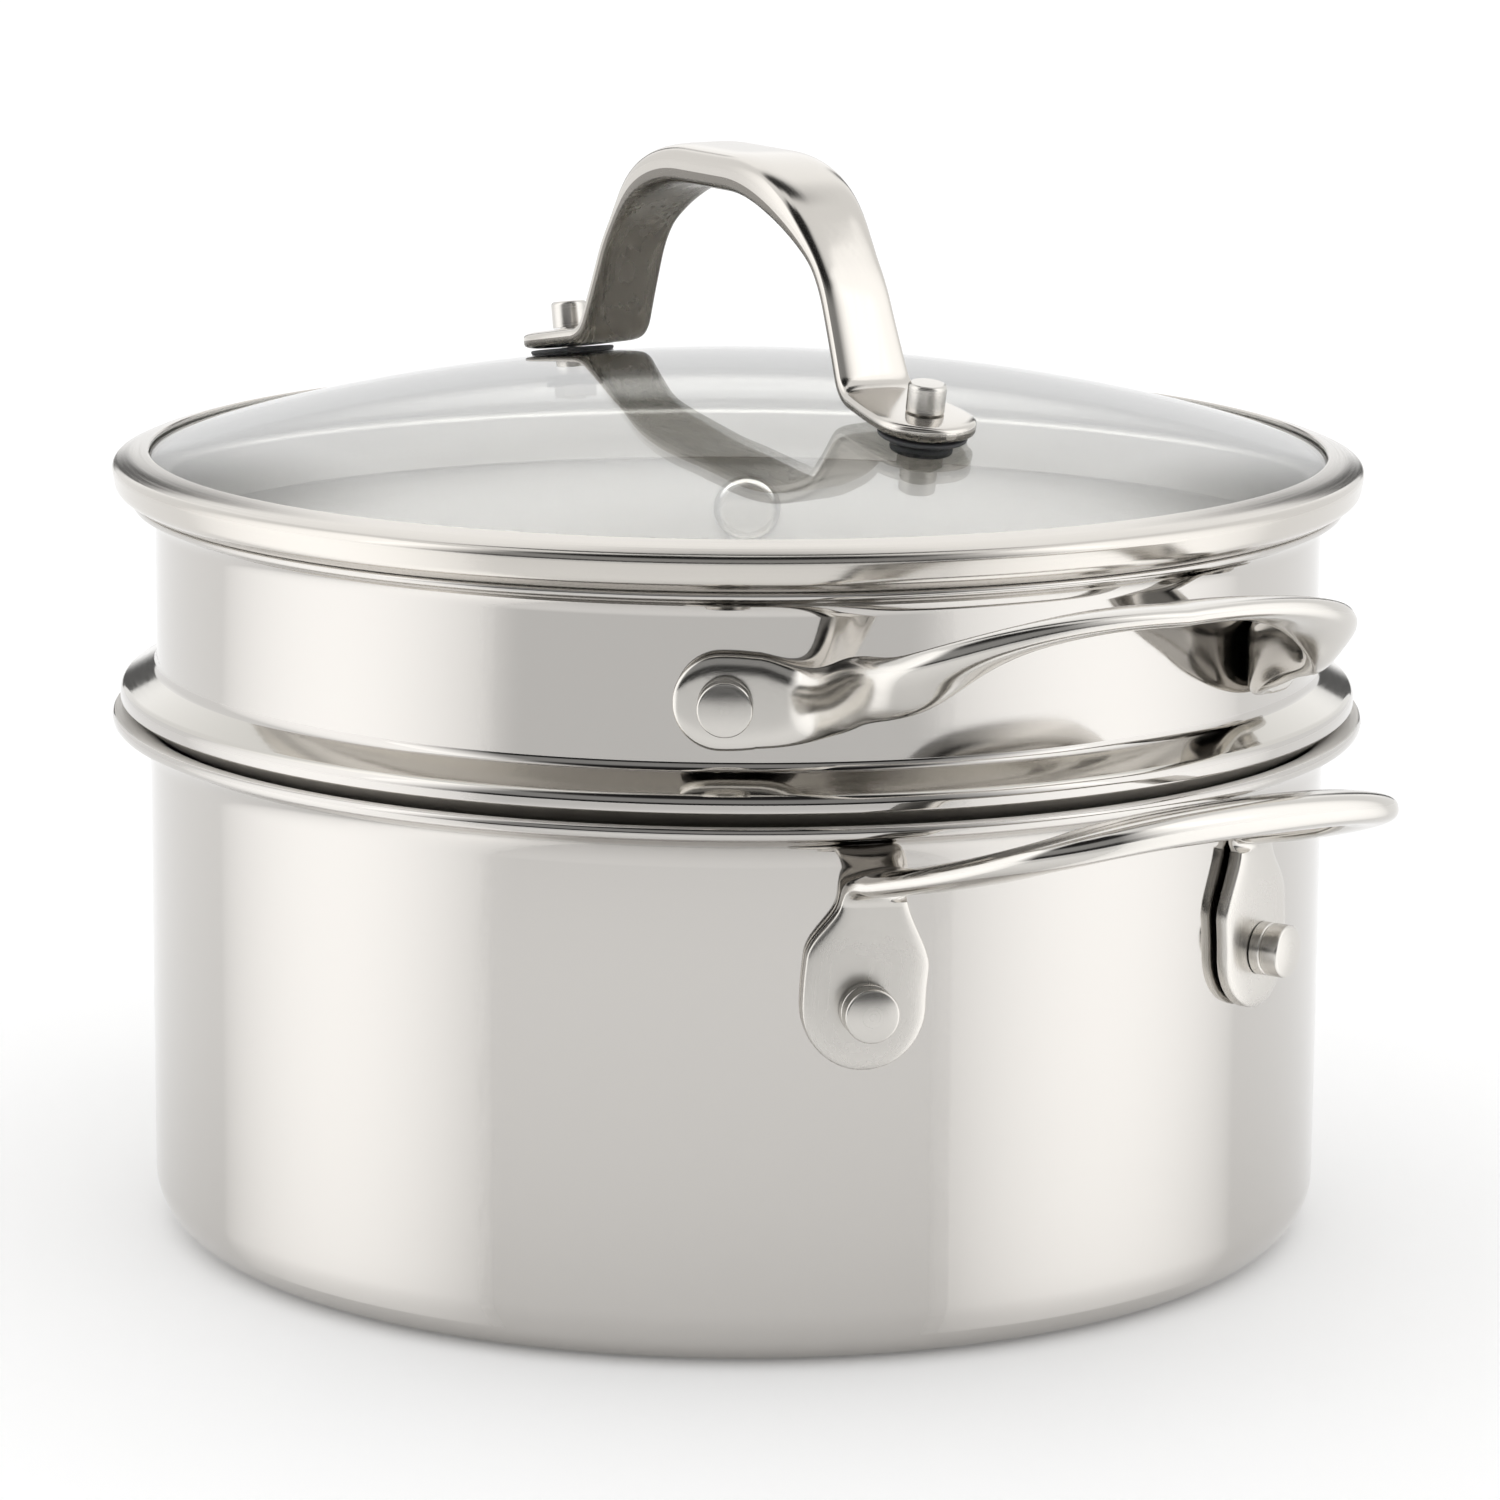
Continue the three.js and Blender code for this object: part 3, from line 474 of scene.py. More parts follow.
def sheet(corners, thickness):
    """Outer points, rounded edge and inner points of a bent sheet. The edge bulges by a third of
    the thickness."""
    spots = [Vector(c[:2]) for c in corners]
    heads = [(b - a).normalized() for a, b in zip(spots, spots[1:])]
    inner = []
    for i, (x, y, *rest) in enumerate(corners):
        a, b = heads[max(i - 1, 0)], heads[min(i, len(heads) - 1)]
        normal = Vector((-a.y, a.x))
        mitre = normal + Vector((-b.y, b.x))
        mitre *= thickness / mitre.dot(normal)
        radius = rest[0] - math.copysign(thickness, a.cross(b)) if rest else 0
        inner.append((x + mitre.x, y + mitre.y, max(radius, LEAST_ROUND) if rest else 0))
    end = Vector(inner[-1][:2])
    middle, across = (end + spots[-1]) / 2, (end - spots[-1]) / 2
    bulge = heads[-1] * thickness / 3
    edge = [middle - across * math.cos(a) + bulge * math.sin(a) for a in EDGE_TURNS]
    return rounded(corners), edge, rounded(inner)[::-1]


def lathe(name, bands, segments, matrix=Matrix(), closed=False):
    """Turns bands of (material, points) about Z into one mesh."""
    profile, finish = [], []
    for material, points in bands:
        for p in points:
            if not profile or (p - profile[-1]).length > SAME_SPOT:
                profile.append(p)
                finish.append(material)
    if closed:
        profile.append(profile[0])
        finish.append(finish[-1])
    lengths = [0]
    for a, b in zip(profile, profile[1:]):
        lengths.append(lengths[-1] + (b - a).length)
    points, rows = [], []
    for p in profile[:-1] if closed else profile:
        count = 1 if p.x < ON_AXIS else segments
        rows.append([len(points) + k % count for k in range(segments + 1)])
        for k in range(count):
            a = 2 * math.pi * k / segments
            points.append(matrix @ Vector((p.x * math.cos(a), p.x * math.sin(a), p.y)))
    if closed:
        rows.append(rows[0])
    faces, uvs, finishes = [], [], []
    for i in range(len(profile) - 1):
        girth = 2 * math.pi * profile[i].x / segments
        for k in range(segments):
            corners = [(i, k), (i, k + 1), (i + 1, k + 1), (i + 1, k)]
            spots = [rows[row][column] for row, column in corners]
            kept = [j for j in range(len(spots)) if spots[j] != spots[j - 1]]
            faces.append([spots[j] for j in kept])
            uvs.append([(corners[j][1] * girth, lengths[corners[j][0]]) for j in kept])
            finishes.append(finish[i + 1])
    return skin(name, points, faces, uvs, finishes)


def signed_power(value, power):
    """A power that keeps the sign of its value."""
    return math.copysign(abs(value) ** power, value)


def ring(station, along):
    """Points round one station of a strap, wide along its out direction."""
    out = (station["out"] - along * station["out"].dot(along)).normalized()
    top = out.cross(along)
    points = []
    for k in range(STRAP_SIDES):
        angle = 2 * math.pi * k / STRAP_SIDES
        bulge = station["upper"] if math.sin(angle) > 0 else station["lower"]
        reach = station["width"] / 2 * signed_power(math.cos(angle), station["square"])
        rise = bulge * signed_power(math.sin(angle), station["square"])
        rise += station.get("hug", 0) * reach**2 / 2
        points.append(station["centre"] + out * reach + top * rise)
    return points


def strap(name, stations, flip, finish, under, place):
    """Skins half a strap and its mirror image, with finishes for its upper and lower side. A
    station is a dict of its centre, its wide direction, its width, its bulges to both sides,
    its squareness and its share of satin."""
    sides = STRAP_SIDES
    rings = []
    for i, station in enumerate(stations):
        before = stations[max(i - 1, 0)]["centre"]
        after = stations[min(i + 1, len(stations) - 1)]["centre"]
        rings.append(ring(station, station.get("along", (after - before).normalized())))
    satin = [station.get("satin", 0) for station in stations]
    rings += [[Vector((p.x * flip[0], p.y * flip[1], p.z)) for p in points] for points in rings[-2::-1]]
    satin += satin[-2::-1]
    faces, uvs = [], []
    run = 0
    for i in range(len(rings) - 1):
        step = (rings[i + 1][0] - rings[i][0]).length
        girth = sum((a - b).length for a, b in zip(rings[i], rings[i][1:])) / sides
        for k in range(sides):
            a, b = i * sides + k, i * sides + (k + 1) % sides
            low, high = k * girth, (k + 1) * girth
            faces.append([a, a + sides, b + sides, b])
            uvs.append([(run, low), (run + step, low), (run + step, high), (run, high)])
        run += step
    last = (len(rings) - 1) * sides
    faces += [[*range(sides)], [*range(last + sides - 1, last - 1, -1)]]
    uvs += [[(0, 0)] * sides] * 2
    points = [place @ p for points in rings for p in points]
    finishes = ([finish] * (sides // 2) + [under] * (sides // 2)) * (len(rings) - 1) + [finish] * 2
    mesh = skin(name, points, faces, uvs, finishes)
    shares = [share for share in satin for _ in range(sides)]
    mesh.attributes.new("satin", "FLOAT", "POINT").data.foreach_set("value", shares)
    return mesh


def round_end(radius, station):
    """Stations of a strap's round end with a rounded edge, from its tip to its middle."""
    made = []
    for k in range(1, END_STEPS + 1):
        turn = math.pi / 2 * (1 - k / END_STEPS)
        here = station(-radius * math.sin(turn))
        full = (1 - math.sin(turn) ** (2 / here["square"])) ** (here["square"] / 2)
        here |= {"upper": here["upper"] * full, "lower": here["lower"] * full}
        made.append(here | {"width": 2 * radius * math.cos(turn)})
    return made


def half_loop(start, heading, leg_pull, tip, bar_pull, section):
    """Stations along a cubic curve from a loop's leg to the middle of its bar."""
    leg = start + heading * leg_pull.x + UP * leg_pull.y
    bar = tip + Vector((0, -bar_pull.x, bar_pull.y))
    made = []
    for k in range(1, LOOP_STEPS + 1):
        t = k / LOOP_STEPS
        u = 1 - t
        along = (leg - start) * u * u + (bar - leg) * 2 * u * t + (tip - bar) * t * t
        side = along.cross(UP).normalized()
        tilt, sag, station = section(t)
        centre = start * u**3 + leg * 3 * u * u * t + bar * 3 * u * t * t + tip * t**3
        out = side * math.cos(tilt) + side.cross(along).normalized() * math.sin(tilt)
        made.append({"centre": centre - UP * sag, "out": out, **station})
    made[-1]["along"] = Vector((0, 1, 0))
    return made


# Pot
def pot_mesh():
    """Brushed underside, polished wall and lip, satin inside with painted light: a lighter colour than the
    outer steel's.
    """
    lip = POT_TOP - POT_SHEET
    corners = [(0, 0), (POT_R, 0, POT_CORNER), (POT_R, lip, POT_FLARE), (POT_R + POT_LIP, lip)]
    outer, edge, inner = sheet(corners, POT_SHEET)
    flat_r = POT_R - POT_CORNER
    foot = next(i for i, p in enumerate(outer) if p.x > flat_r - FOOT_SLACK)
    bands = [(BRUSHED, outer[: foot + 1]), (POLISHED, outer[foot:] + edge), (PAINTED_LIGHT_INSIDE, inner)]
    return lathe("pot_wall", bands, WALL_SEGMENTS)


def pot_handle_stations():
    """Ear on the wall, neck that bends outwards under the lip and rising loop."""
    angle, swing = math.radians(POT_RIVET_ANGLE), math.radians(POT_LEG_TURN)
    radial = Vector((math.cos(angle), -math.sin(angle), 0))
    side = Vector((-math.sin(angle), -math.cos(angle), 0))
    ear_r = POT_R + GAP + EAR_THICK / 2

    def ear(height):
        lean = POT_EAR_LEAN * smooth(height, 0, POT_EAR_RISE)
        neck = smooth(height, POT_EAR_SHOULDER, POT_EAR_RISE + POT_NECK_BLEND)
        return {
            "centre": radial * ear_r - side * lean + UP * (POT_RIVET_Z + height),
            "out": side,
            "width": mix(2 * POT_EAR_R, POT_NECK, neck),
            "upper": EAR_THICK / 2,
            "lower": EAR_THICK / 2,
            "square": EAR_SQUARE,
            "hug": 1 / POT_R,
            "satin": mix(1, POT_NECK_SATIN, neck),
        }

    stations = round_end(POT_EAR_R, ear)
    stations += [ear(POT_EAR_RISE * k / EAR_STEPS) for k in range(1, EAR_STEPS + 1)]
    neck_top = stations[-1]["centre"]
    heading = radial * math.cos(swing) - side * math.sin(swing)
    for k in range(1, BEND_STEPS + 1):
        share = k / BEND_STEPS
        turn = math.pi / 2 * share
        spin = swing * smooth(share)
        half = mix(EAR_THICK, POT_LEG_THICK, share) / 2
        stations.append({
            "centre": neck_top + POT_BEND * (heading * (1 - math.cos(turn)) + UP * math.sin(turn)),
            "out": side * math.cos(spin) + radial * math.sin(spin),
            "width": POT_NECK,
            "upper": half,
            "lower": half,
            "square": mix(EAR_SQUARE, LOOP_SQUARE, share),
            "satin": POT_NECK_SATIN * (1 - share),
        })

    def section(t):
        half = mix(POT_LEG_THICK, POT_BAR_THICK, t) / 2
        width = mix(POT_NECK, POT_BAR, t)
        shape = {"width": width, "upper": half, "lower": half, "square": LOOP_SQUARE}
        return math.radians(POT_BAR_TILT) * t, 0, shape

    start = stations[-1]["centre"]
    tip = Vector((POT_R + POT_REACH, 0, start.z + POT_RISE))
    return stations + half_loop(start, heading, POT_LEG_PULL, tip, POT_BAR_PULL, section)


# Steamer
def steamer_mesh():
    """Wall from the edge of the base plate to the lip. Its skirt passes the curve of the pot's
    mouth at the seat gap."""
    mouth = POT_FLARE + POT_SHEET
    bead = Vector((BEAD_R, BEAD_LOW))
    to_mouth = Vector((POT_R + POT_FLARE, POT_TOP - mouth)) - bead
    slope = Matrix.Rotation(-math.asin((mouth + SEAT_GAP) / to_mouth.length), 2) @ to_mouth
    lip = STEAMER_TOP - STEAMER_SHEET
    corners = [
        (PLATE_R, STEAMER_BASE),
        (FOOT_R, STEAMER_BASE, STEAMER_CORNER),
        (SKIRT_R, BEAD_LOW + slope.y / slope.x * (SKIRT_R - BEAD_R), SKIRT_BEND),
        (BEAD_R, BEAD_LOW, BEAD_LOW_ROUND),
        (BEAD_R, BEAD_HIGH, BEAD_HIGH_ROUND),
        (STEAMER_R, BEAD_ROOT, BEAD_ROOT_ROUND),
        (STEAMER_R, lip, STEAMER_FLARE),
        (STEAMER_R + STEAMER_LIP, lip),
    ]
    outer, edge, inner = sheet(corners, STEAMER_SHEET)
    shelf = [i for i, p in enumerate(outer) if p.x > SHELF_R and SHELF_LOW < p.y < BEAD_ROOT]
    low, high = shelf[0], shelf[-1]
    bands = [(POLISHED, outer[:low]), (BUFFED, outer[low : high + 1]), (POLISHED, outer[high:] + edge)]
    return lathe("steamer_wall", bands + [(PAINTED_LIGHT_INSIDE, inner)], WALL_SEGMENTS, closed=True)


def plate_mesh():
    """The steamer's flat base, filled between its round edge and its steam holes."""
    curve = bpy.data.curves.new("steamer_plate", "CURVE")
    curve.dimensions = "2D"
    curve.fill_mode = "BOTH"
    curve.bevel_depth = PLATE_EDGE * MM
    curve.bevel_resolution = 2
    curve.extrude = STEAMER_SHEET / 2 * MM - curve.bevel_depth
    rim = (0, 0, PLATE_R + curve.bevel_depth / MM, PLATE_SEGMENTS)
    circles = [rim, (0, 0, STEAM_HOLE_R, HOLE_SEGMENTS)]
    for row in range(1, STEAM_HOLE_RINGS + 1):
        holes = STEAM_HOLES_ADDED * row
        reach = STEAM_HOLE_PITCH * row
        for k in range(holes):
            a = 2 * math.pi * k / holes + math.radians(STEAMER_TURN)
            circles.append((reach * math.cos(a), reach * math.sin(a), STEAM_HOLE_R, HOLE_SEGMENTS))
    for x, y, r, count in circles:
        spline = curve.splines.new("POLY")
        spline.points.add(count - 1)
        spline.use_cyclic_u = True
        for k, p in enumerate(spline.points):
            a = 2 * math.pi * k / count
            p.co = ((x + r * math.cos(a)) * MM, (y + r * math.sin(a)) * MM, 0, 1)
    holder = bpy.data.objects.new("steamer_plate", curve)
    bpy.context.scene.collection.objects.link(holder)
    bpy.context.view_layer.update()
    view = bpy.context.evaluated_depsgraph_get()
    mesh = bpy.data.meshes.new_from_object(holder.evaluated_get(view))
    bpy.data.objects.remove(holder)
    mesh.transform(Matrix.Translation(UP * (STEAMER_BASE + STEAMER_SHEET / 2) * MM))
    mesh.materials.clear()
    # The plate's darker steel is painted shade, standing in for the shade deep inside the steamer
    mesh.materials.append(PAINTED_SHADE_BASE)
    return mesh


def steamer_handle_stations():
    """Ear on the wall, and a loop whose strap twists from upright to level."""
    spread = math.radians(STEAMER_RIVET_ANGLE)
    ear_r = STEAMER_R + GAP + EAR_THICK / 2

    def ear_width(offset, neck):
        """The ear flows into its neck."""
        return mix(2 * STEAMER_EAR_R, neck, smooth(offset, 0, STEAMER_EAR_END))

    def ear(offset):
        a = spread - offset / ear_r
        return {
            "centre": Vector((ear_r * math.cos(a), -ear_r * math.sin(a), STEAMER_RIVET_Z)),
            "out": UP,
            "width": ear_width(offset, STEAMER_NECK),
            "upper": EAR_THICK / 2,
            "lower": EAR_THICK / 2,
            "square": CROWNED_SQUARE,
            "satin": STEAMER_SATIN,
        }

    stations = round_end(STEAMER_EAR_R, lambda offset: ear(offset - STEAMER_EAR_LONGER))
    stations += [ear(STEAMER_EAR_RUN * k / RUN_STEPS) for k in range(1, RUN_STEPS + 1)]

    def section(t):
        neck = smooth(t, 0, NECK_SHARE)
        elbow = smooth(t, NECK_SHARE, ELBOW_SHARE)
        bar = smooth(t, ELBOW_SHARE, 1)
        width = mix(mix(STEAMER_NECK, STEAMER_ELBOW, elbow), STEAMER_BAR, bar)
        # A cubic curve sets off at three times its pull
        width = ear_width(STEAMER_EAR_RUN + 3 * STEAMER_LEG_PULL.x * t, width)
        thick = mix(mix(EAR_THICK, STEAMER_NECK_THICK, neck), STEAMER_ELBOW_THICK, elbow)
        half = mix(thick, STEAMER_BAR_THICK, bar) / 2
        tilt = math.radians(mix(90, STEAMER_BAR_TILT, smooth(t, TWIST_FROM, 1)))
        sag = STEAMER_SAG * smooth(t, SAG_FROM, SAG_MOST) * (1 - smooth(t, SAG_MOST, 1))
        shape = {"width": width, "upper": half, "lower": half, "satin": STEAMER_SATIN}
        return tilt, sag, shape | {"square": mix(CROWNED_SQUARE, LOOP_SQUARE, neck)}

    start = stations[-1]["centre"]
    heading = Vector((-start.y, start.x, 0)).normalized()
    tip = Vector((STEAMER_R + STEAMER_REACH, 0, STEAMER_RIVET_Z + STEAMER_RISE))
    return stations + half_loop(start, heading, STEAMER_LEG_PULL, tip, STEAMER_BAR_PULL, section)


# Rivets
def rivet_mesh(name, wall_r, wall, angle, height):
    """Crowned and grooved head on the ear, shank and domed head inside the wall."""
    seat = -(EAR_THICK + GAP + wall + RIVET_INNER_GAP)
    end = seat - RIVET_INNER_HIGH
    top = GAP + RIVET_HIGH
    inner = [
        (0, end),
        (RIVET_INNER_R, end, RIVET_INNER_ROUND),
        (RIVET_INNER_R, seat),
        (RIVET_SHANK_R, seat),
    ]
    corners = [
        (RIVET_SHANK_R, seat),
        (RIVET_SHANK_R, RIVET_LOW),
        (RIVET_R, RIVET_LOW),
        (RIVET_R, RIVET_GROOVE - GROOVE_HALF, GROOVE_ROUND),
        (RIVET_R - GROOVE_DEEP, RIVET_GROOVE),
        (RIVET_R, RIVET_GROOVE + GROOVE_HALF, GROOVE_ROUND),
        (RIVET_R, top - RIVET_CROWN, RIVET_EDGE),
    ]
    shares = [RIVET_CROWN_SHARE - k / CROWN_STEPS for k in range(CROWN_STEPS)]
    crown = [Vector((RIVET_R * share, top - RIVET_CROWN * share**2)) for share in shares]
    outer = rounded(corners + [tuple(crown[0])], RIVET_ARC) + crown[1:]
    outward = Matrix.Rotation(math.pi / 2, 4, "Y")
    on_ear = Matrix.Translation((wall_r + GAP + EAR_THICK, 0, height)) @ outward
    place = Matrix.Rotation(math.radians(angle), 4, "Z") @ on_ear
    bands = [(CAST, rounded(inner, RIVET_ARC)), (TURNED, outer)]
    return lathe(name, bands, PIN_SEGMENTS, place)


# Lid
def dome(r, depth=0.0):
    """Height of the glass at a radius, or of a face this deep under it."""
    return DOME_Z + math.sqrt((DOME_R - depth) ** 2 - r * r)


def glass_mesh():
    """Domed glass of even thickness."""
    reach = [GLASS_R * k / DOME_STEPS for k in range(DOME_STEPS + 1)]
    under = [Vector((r, dome(r, GLASS_THICK))) for r in reach]
    over = [Vector((r, dome(r))) for r in reversed(reach)]
    return lathe("lid_dome", [(GLASS, under + over)], WALL_SEGMENTS)


def rim_mesh():
    """Skirt inside the steamer, brushed side and face, and a channel for the glass."""
    roof = dome(RIM_FACE_R) + GAP
    skirt_inner_r = LID_SKIRT_R - LID_SKIRT_SHEET
    side = rounded([
        (skirt_inner_r, LID_SKIRT_LOW),
        (LID_SKIRT_R - LID_SKIRT_SHEET / 2, LID_SKIRT_LOW - LID_SKIRT_TIP, LID_SKIRT_TIP_ROUND),
        (LID_SKIRT_R, LID_SKIRT_LOW, LID_SKIRT_EDGE_ROUND),
        (LID_SKIRT_R, LID_Z, LID_SKIRT_TOP_ROUND),
        (RIM_SEAT_R, LID_Z, RIM_SEAT_ROUND),
        (RIM_LOW_R, RIM_LOW_Z, RIM_LOW_ROUND),
        (RIM_SHOULDER_R, RIM_SHOULDER_Z, RIM_SHOULDER_ROUND),
        (RIM_TOP_R, RIM_TOP_Z, RIM_TOP_ROUND),
        (RIM_FACE_R + RIM_FACE_ROUND, roof + RIM_FACE_SHEET, RIM_FACE_ROUND),
        (RIM_FACE_R, roof + RIM_FACE_SHEET - RIM_FACE_ROUND),
    ], RIM_ARC)
    channel = rounded([
        (RIM_FACE_R, roof),
        (RIM_CHANNEL_R, dome(RIM_CHANNEL_R) + GAP),
        (RIM_CHANNEL_R, RIM_FLOOR),
        (skirt_inner_r, RIM_FLOOR, RIM_SEAT_ROUND),
        (skirt_inner_r, LID_SKIRT_INNER_LOW),
    ])
    return lathe("lid_ring", [(BRUSHED, side), (PAINTED_LIGHT_INSIDE, channel)], WALL_SEGMENTS, closed=True)


def arch_stations():
    """Round pad, leg and half the top of the lid's handle."""
    slope = math.asin(STUD_REACH / DOME_R)
    off_glass = Vector((math.sin(slope), math.cos(slope)))
    pad = Vector((STUD_REACH, dome(STUD_REACH))) + off_glass * PAD_MIDDLE
    outward = Vector((math.cos(slope), -math.sin(slope)))
    foot_z = pad.y + (pad.x - ARCH_FOOT) * math.tan(slope)

    def station(spot, width=0.0, top=0.0):
        return {
            "centre": Vector((-spot.x, 0, spot.y)),
            "out": Vector((0, -1, 0)),
            "width": width,
            "upper": mix(STRAP_HALF, ARCH_CROWN, top),
            "lower": mix(STRAP_HALF, ARCH_BELLY, top),
            "square": ARCH_SQUARE,
        }

    stations = round_end(PAD_R, lambda offset: station(pad - outward * offset))
    corners = [
        (pad.x, pad.y),
        (ARCH_FOOT, foot_z, ARCH_FOOT_ROUND),
        (ARCH_LEG, ARCH_LEG_Z, ARCH_LEG_ROUND),
        (ARCH_TOP, ARCH_TOP_Z, ARCH_SHOULDER_ROUND),
        (0, ARCH_TOP_Z),
    ]
    line = rounded(corners, ARCH_ARC)
    for a, b in zip(line, line[1:]):
        count = max(1, round((b - a).length / ARCH_STEP_LONG))
        for k in range(1, count + 1):
            spot = a.lerp(b, k / count)
            leg = smooth(pad.x - spot.x, 0, pad.x - ARCH_LEG)
            top = smooth(spot.y, ARCH_LEG_Z, ARCH_TOP_Z)
            width = mix(mix(2 * PAD_R, ARCH_LEG_WIDTH, leg), ARCH_TOP_WIDTH, top)
            stations.append(station(spot, width, top))
    stations[-1]["along"] = Vector((1, 0, 0))
    return stations


def make_stud(number, side):
    """One stud through the glass, with its gasket, washer and nut."""
    place = (
        Matrix.Rotation(math.radians(STEAMER_TURN), 4, "Z")
        @ Matrix.Translation((side * STUD_REACH, 0, dome(STUD_REACH)))
        @ Matrix.Rotation(side * math.asin(STUD_REACH / DOME_R), 4, "Y")
    )
    end = NUT_LOW - STUD_TAIL
    stud = [
        (0, end),
        (STUD_SHANK_R, end, STUD_END_ROUND),
        (STUD_SHANK_R, STUD_SEAT),
        (STUD_HEAD_R, STUD_SEAT),
        (STUD_HEAD_R, STUD_TOP, STUD_HEAD_ROUND),
        (0, STUD_TOP),
    ]
    gasket = [
        (BORE_R, GASKET_LOW),
        (GASKET_LOW_R, GASKET_LOW, GASKET_LOW_ROUND),
        (GASKET_TOP_R, GASKET_TOP, SEAL_ROUND),
        (BORE_R, GASKET_TOP),
    ]
    washer = [
        (BORE_R, WASHER_LOW),
        (WASHER_R, WASHER_LOW, SEAL_ROUND),
        (WASHER_R, WASHER_TOP, SEAL_ROUND),
        (BORE_R, WASHER_TOP),
    ]
    nut = [(BORE_R, NUT_LOW), (NUT_R, NUT_LOW, NUT_ROUND), (NUT_R, NUT_TOP), (BORE_R, NUT_TOP)]
    pieces = [
        ("stud", TURNED, stud, "satin_steel", PIN_SEGMENTS),
        ("gasket", SILICONE, gasket, "grey_silicone", SEAL_SEGMENTS),
        ("washer", SILICONE, washer, "grey_silicone", SEAL_SEGMENTS),
        ("nut", TURNED, nut, "satin_steel", NUT_SIDES),
    ]
    for kind, finish, corners, slot, segments in pieces:
        name = f"lid_{kind}_{number}"
        bands = [(finish, rounded(corners, SEAL_ARC))]
        mesh = lathe(name, bands, segments, place, closed=kind != "stud")
        place_mesh(name, mesh, "lid", [name], slot)


def make_handles(body, stations, turn, wall_r, wall, spread, height):
    """Two opposite loops of a vessel, each with its two rivets."""
    for letter, half_turn in (("a", 0), ("b", 180)):
        heading = turn + half_turn
        place = Matrix.Rotation(math.radians(heading), 4, "Z")
        loop = strap(f"{body}_loop_{letter}", stations, (1, -1), CAST, CAST, place)
        place_mesh(loop.name, loop, body, [f"{body}_handle_{letter}"], "polished_steel")
        for number, side in ((1, -1), (2, 1)):
            name = f"{body}_rivet_{letter}{number}"
            rivet = rivet_mesh(name, wall_r, wall, heading + side * spread, height)
            place_mesh(name, rivet, body, [name], "satin_steel")


place_mesh("pot_wall", pot_mesh(), "pot", ["pot_body"], "polished_steel")
place_mesh("steamer_wall", steamer_mesh(), "steamer", ["steamer_body"], "polished_steel")
place_mesh("steamer_plate", plate_mesh(), "steamer", ["steamer_body"], "polished_steel")
place_mesh("lid_dome", glass_mesh(), "lid", ["lid_glass"], "clear_glass")
place_mesh("lid_ring", rim_mesh(), "lid", ["lid_rim"], "satin_steel")
make_handles("pot", pot_handle_stations(), 0, POT_R, POT_SHEET, POT_RIVET_ANGLE, POT_RIVET_Z)
make_handles(
    "steamer",
    steamer_handle_stations(),
    STEAMER_TURN,
    STEAMER_R,
    STEAMER_SHEET,
    STEAMER_RIVET_ANGLE,
    STEAMER_RIVET_Z,
)
lid_place = Matrix.Rotation(math.radians(STEAMER_TURN), 4, "Z")
# The strap's underside gets a darker steel colour as painted shade
arch = strap("lid_arch", arch_stations(), (-1, 1), DRAWN, PAINTED_SHADE_UNDERSIDE, lid_place)
place_mesh("lid_arch", arch, "lid", ["lid_handle"], "satin_steel")
make_stud(1, -1)
make_stud(2, 1)

# Studio, in metres. Azimuths are degrees from the camera's side of the pot, rises from the floor.
# A fade is a share of a card's width or height.
VIEW = 56.2
CAMERA_PLACE = Vector((0, -1.0814, 0.3037))
CARD_STEPS = 64
WORLD_STRENGTH = 1.04
FLOOR_HALF = 12

# Panels on the floor and softboxes behind them, between two azimuths of the pot's wall
LEFT_BAND = (-57.5, -22.5)
RIGHT_BAND = (18.2, 55)
PANEL_LIFT = 0.0005
PANEL_FAR = 1.5
PANEL_PEAK = 0.62
PANEL_FALL = 0.7
PANEL_NEAR_METRES = (-0.03, 0.04)
PANEL_FAR_METRES = (1.1, PANEL_FAR)
SOFTBOX_HIGH = 2.3

# Darker floor between the panels
FRONT_BAND = (-24, 20)
FRONT_DARK = 0.22
FRONT_SIDE_FADE = 0.1
FRONT_NEAR_METRES = (0.2, 0.5)

# Dark room on the camera's side, with a lighter band and a window overhead
ROOM_R = 2.4
ROOM_SIDE = 70
ROOM_TOP = 120
ROOM_SIDE_FADE = 0.2
ROOM_TOP_FADE = 0.94
ROOM_GLOW = 0.02
BAND_GLOW = 0.34
BAND_FOOT_RISE = (9, 17)
BAND_HEAD_RISE = (38, 54)
WINDOW_RISE = 90
WINDOW_HALF = 8
WINDOW_SOFT = 2

# Flags at both sides of the backdrop
FLAG_NEAR = 168
FLAG_FAR = 157.5
FLAG_TOP = 40
FLAG_GLOW = 0.02
FLAG_DARK = 0.9
FLAG_NEAR_FADE = 0.5
FLAG_FAR_FADE = 0.94
FLAG_TOP_FADE = 0.6

# Light on the backdrop
BACK_R = ROOM_R + 0.1
BACK_SIDE = 40
BACK_LOW = 12
BACK_TOP = 62
BACK_GLOW = 0.28
BACK_SIDE_FADE = 0.25
BACK_END_FADE = 0.15

# Softbox over the lid and grey screen round the pot
OVERHEAD_R = 3
OVERHEAD_Z = 1.6
OVERHEAD_GLOW = 1.75
OVERHEAD_FADE = 0.6
SURROUND_R = 0.9
SURROUND_TOP = 0.6
SURROUND_CLEAR = 0.42
SURROUND_FADE = 0.5


def studio_material():
    """Light that its card adds to what lies behind it, less what the card hides."""
    material = bpy.data.materials.new("studio_light")
    material.use_nodes = True
    tree = material.node_tree
    tree.nodes.clear()
    glow = add(tree, "ShaderNodeAttribute", attribute_name="glow").outputs["Fac"]
    clear = add(tree, "ShaderNodeAttribute", attribute_name="clear").outputs["Color"]
    light = add(tree, "ShaderNodeEmission", {"Strength": glow}).outputs[0]
    window = add(tree, "ShaderNodeBsdfTransparent", {"Color": clear}).outputs[0]
    both = add(tree, "ShaderNodeAddShader", {0: light, 1: window}).outputs[0]
    add(tree, "ShaderNodeOutputMaterial", {"Surface": both})
    return material


LIGHT = studio_material()


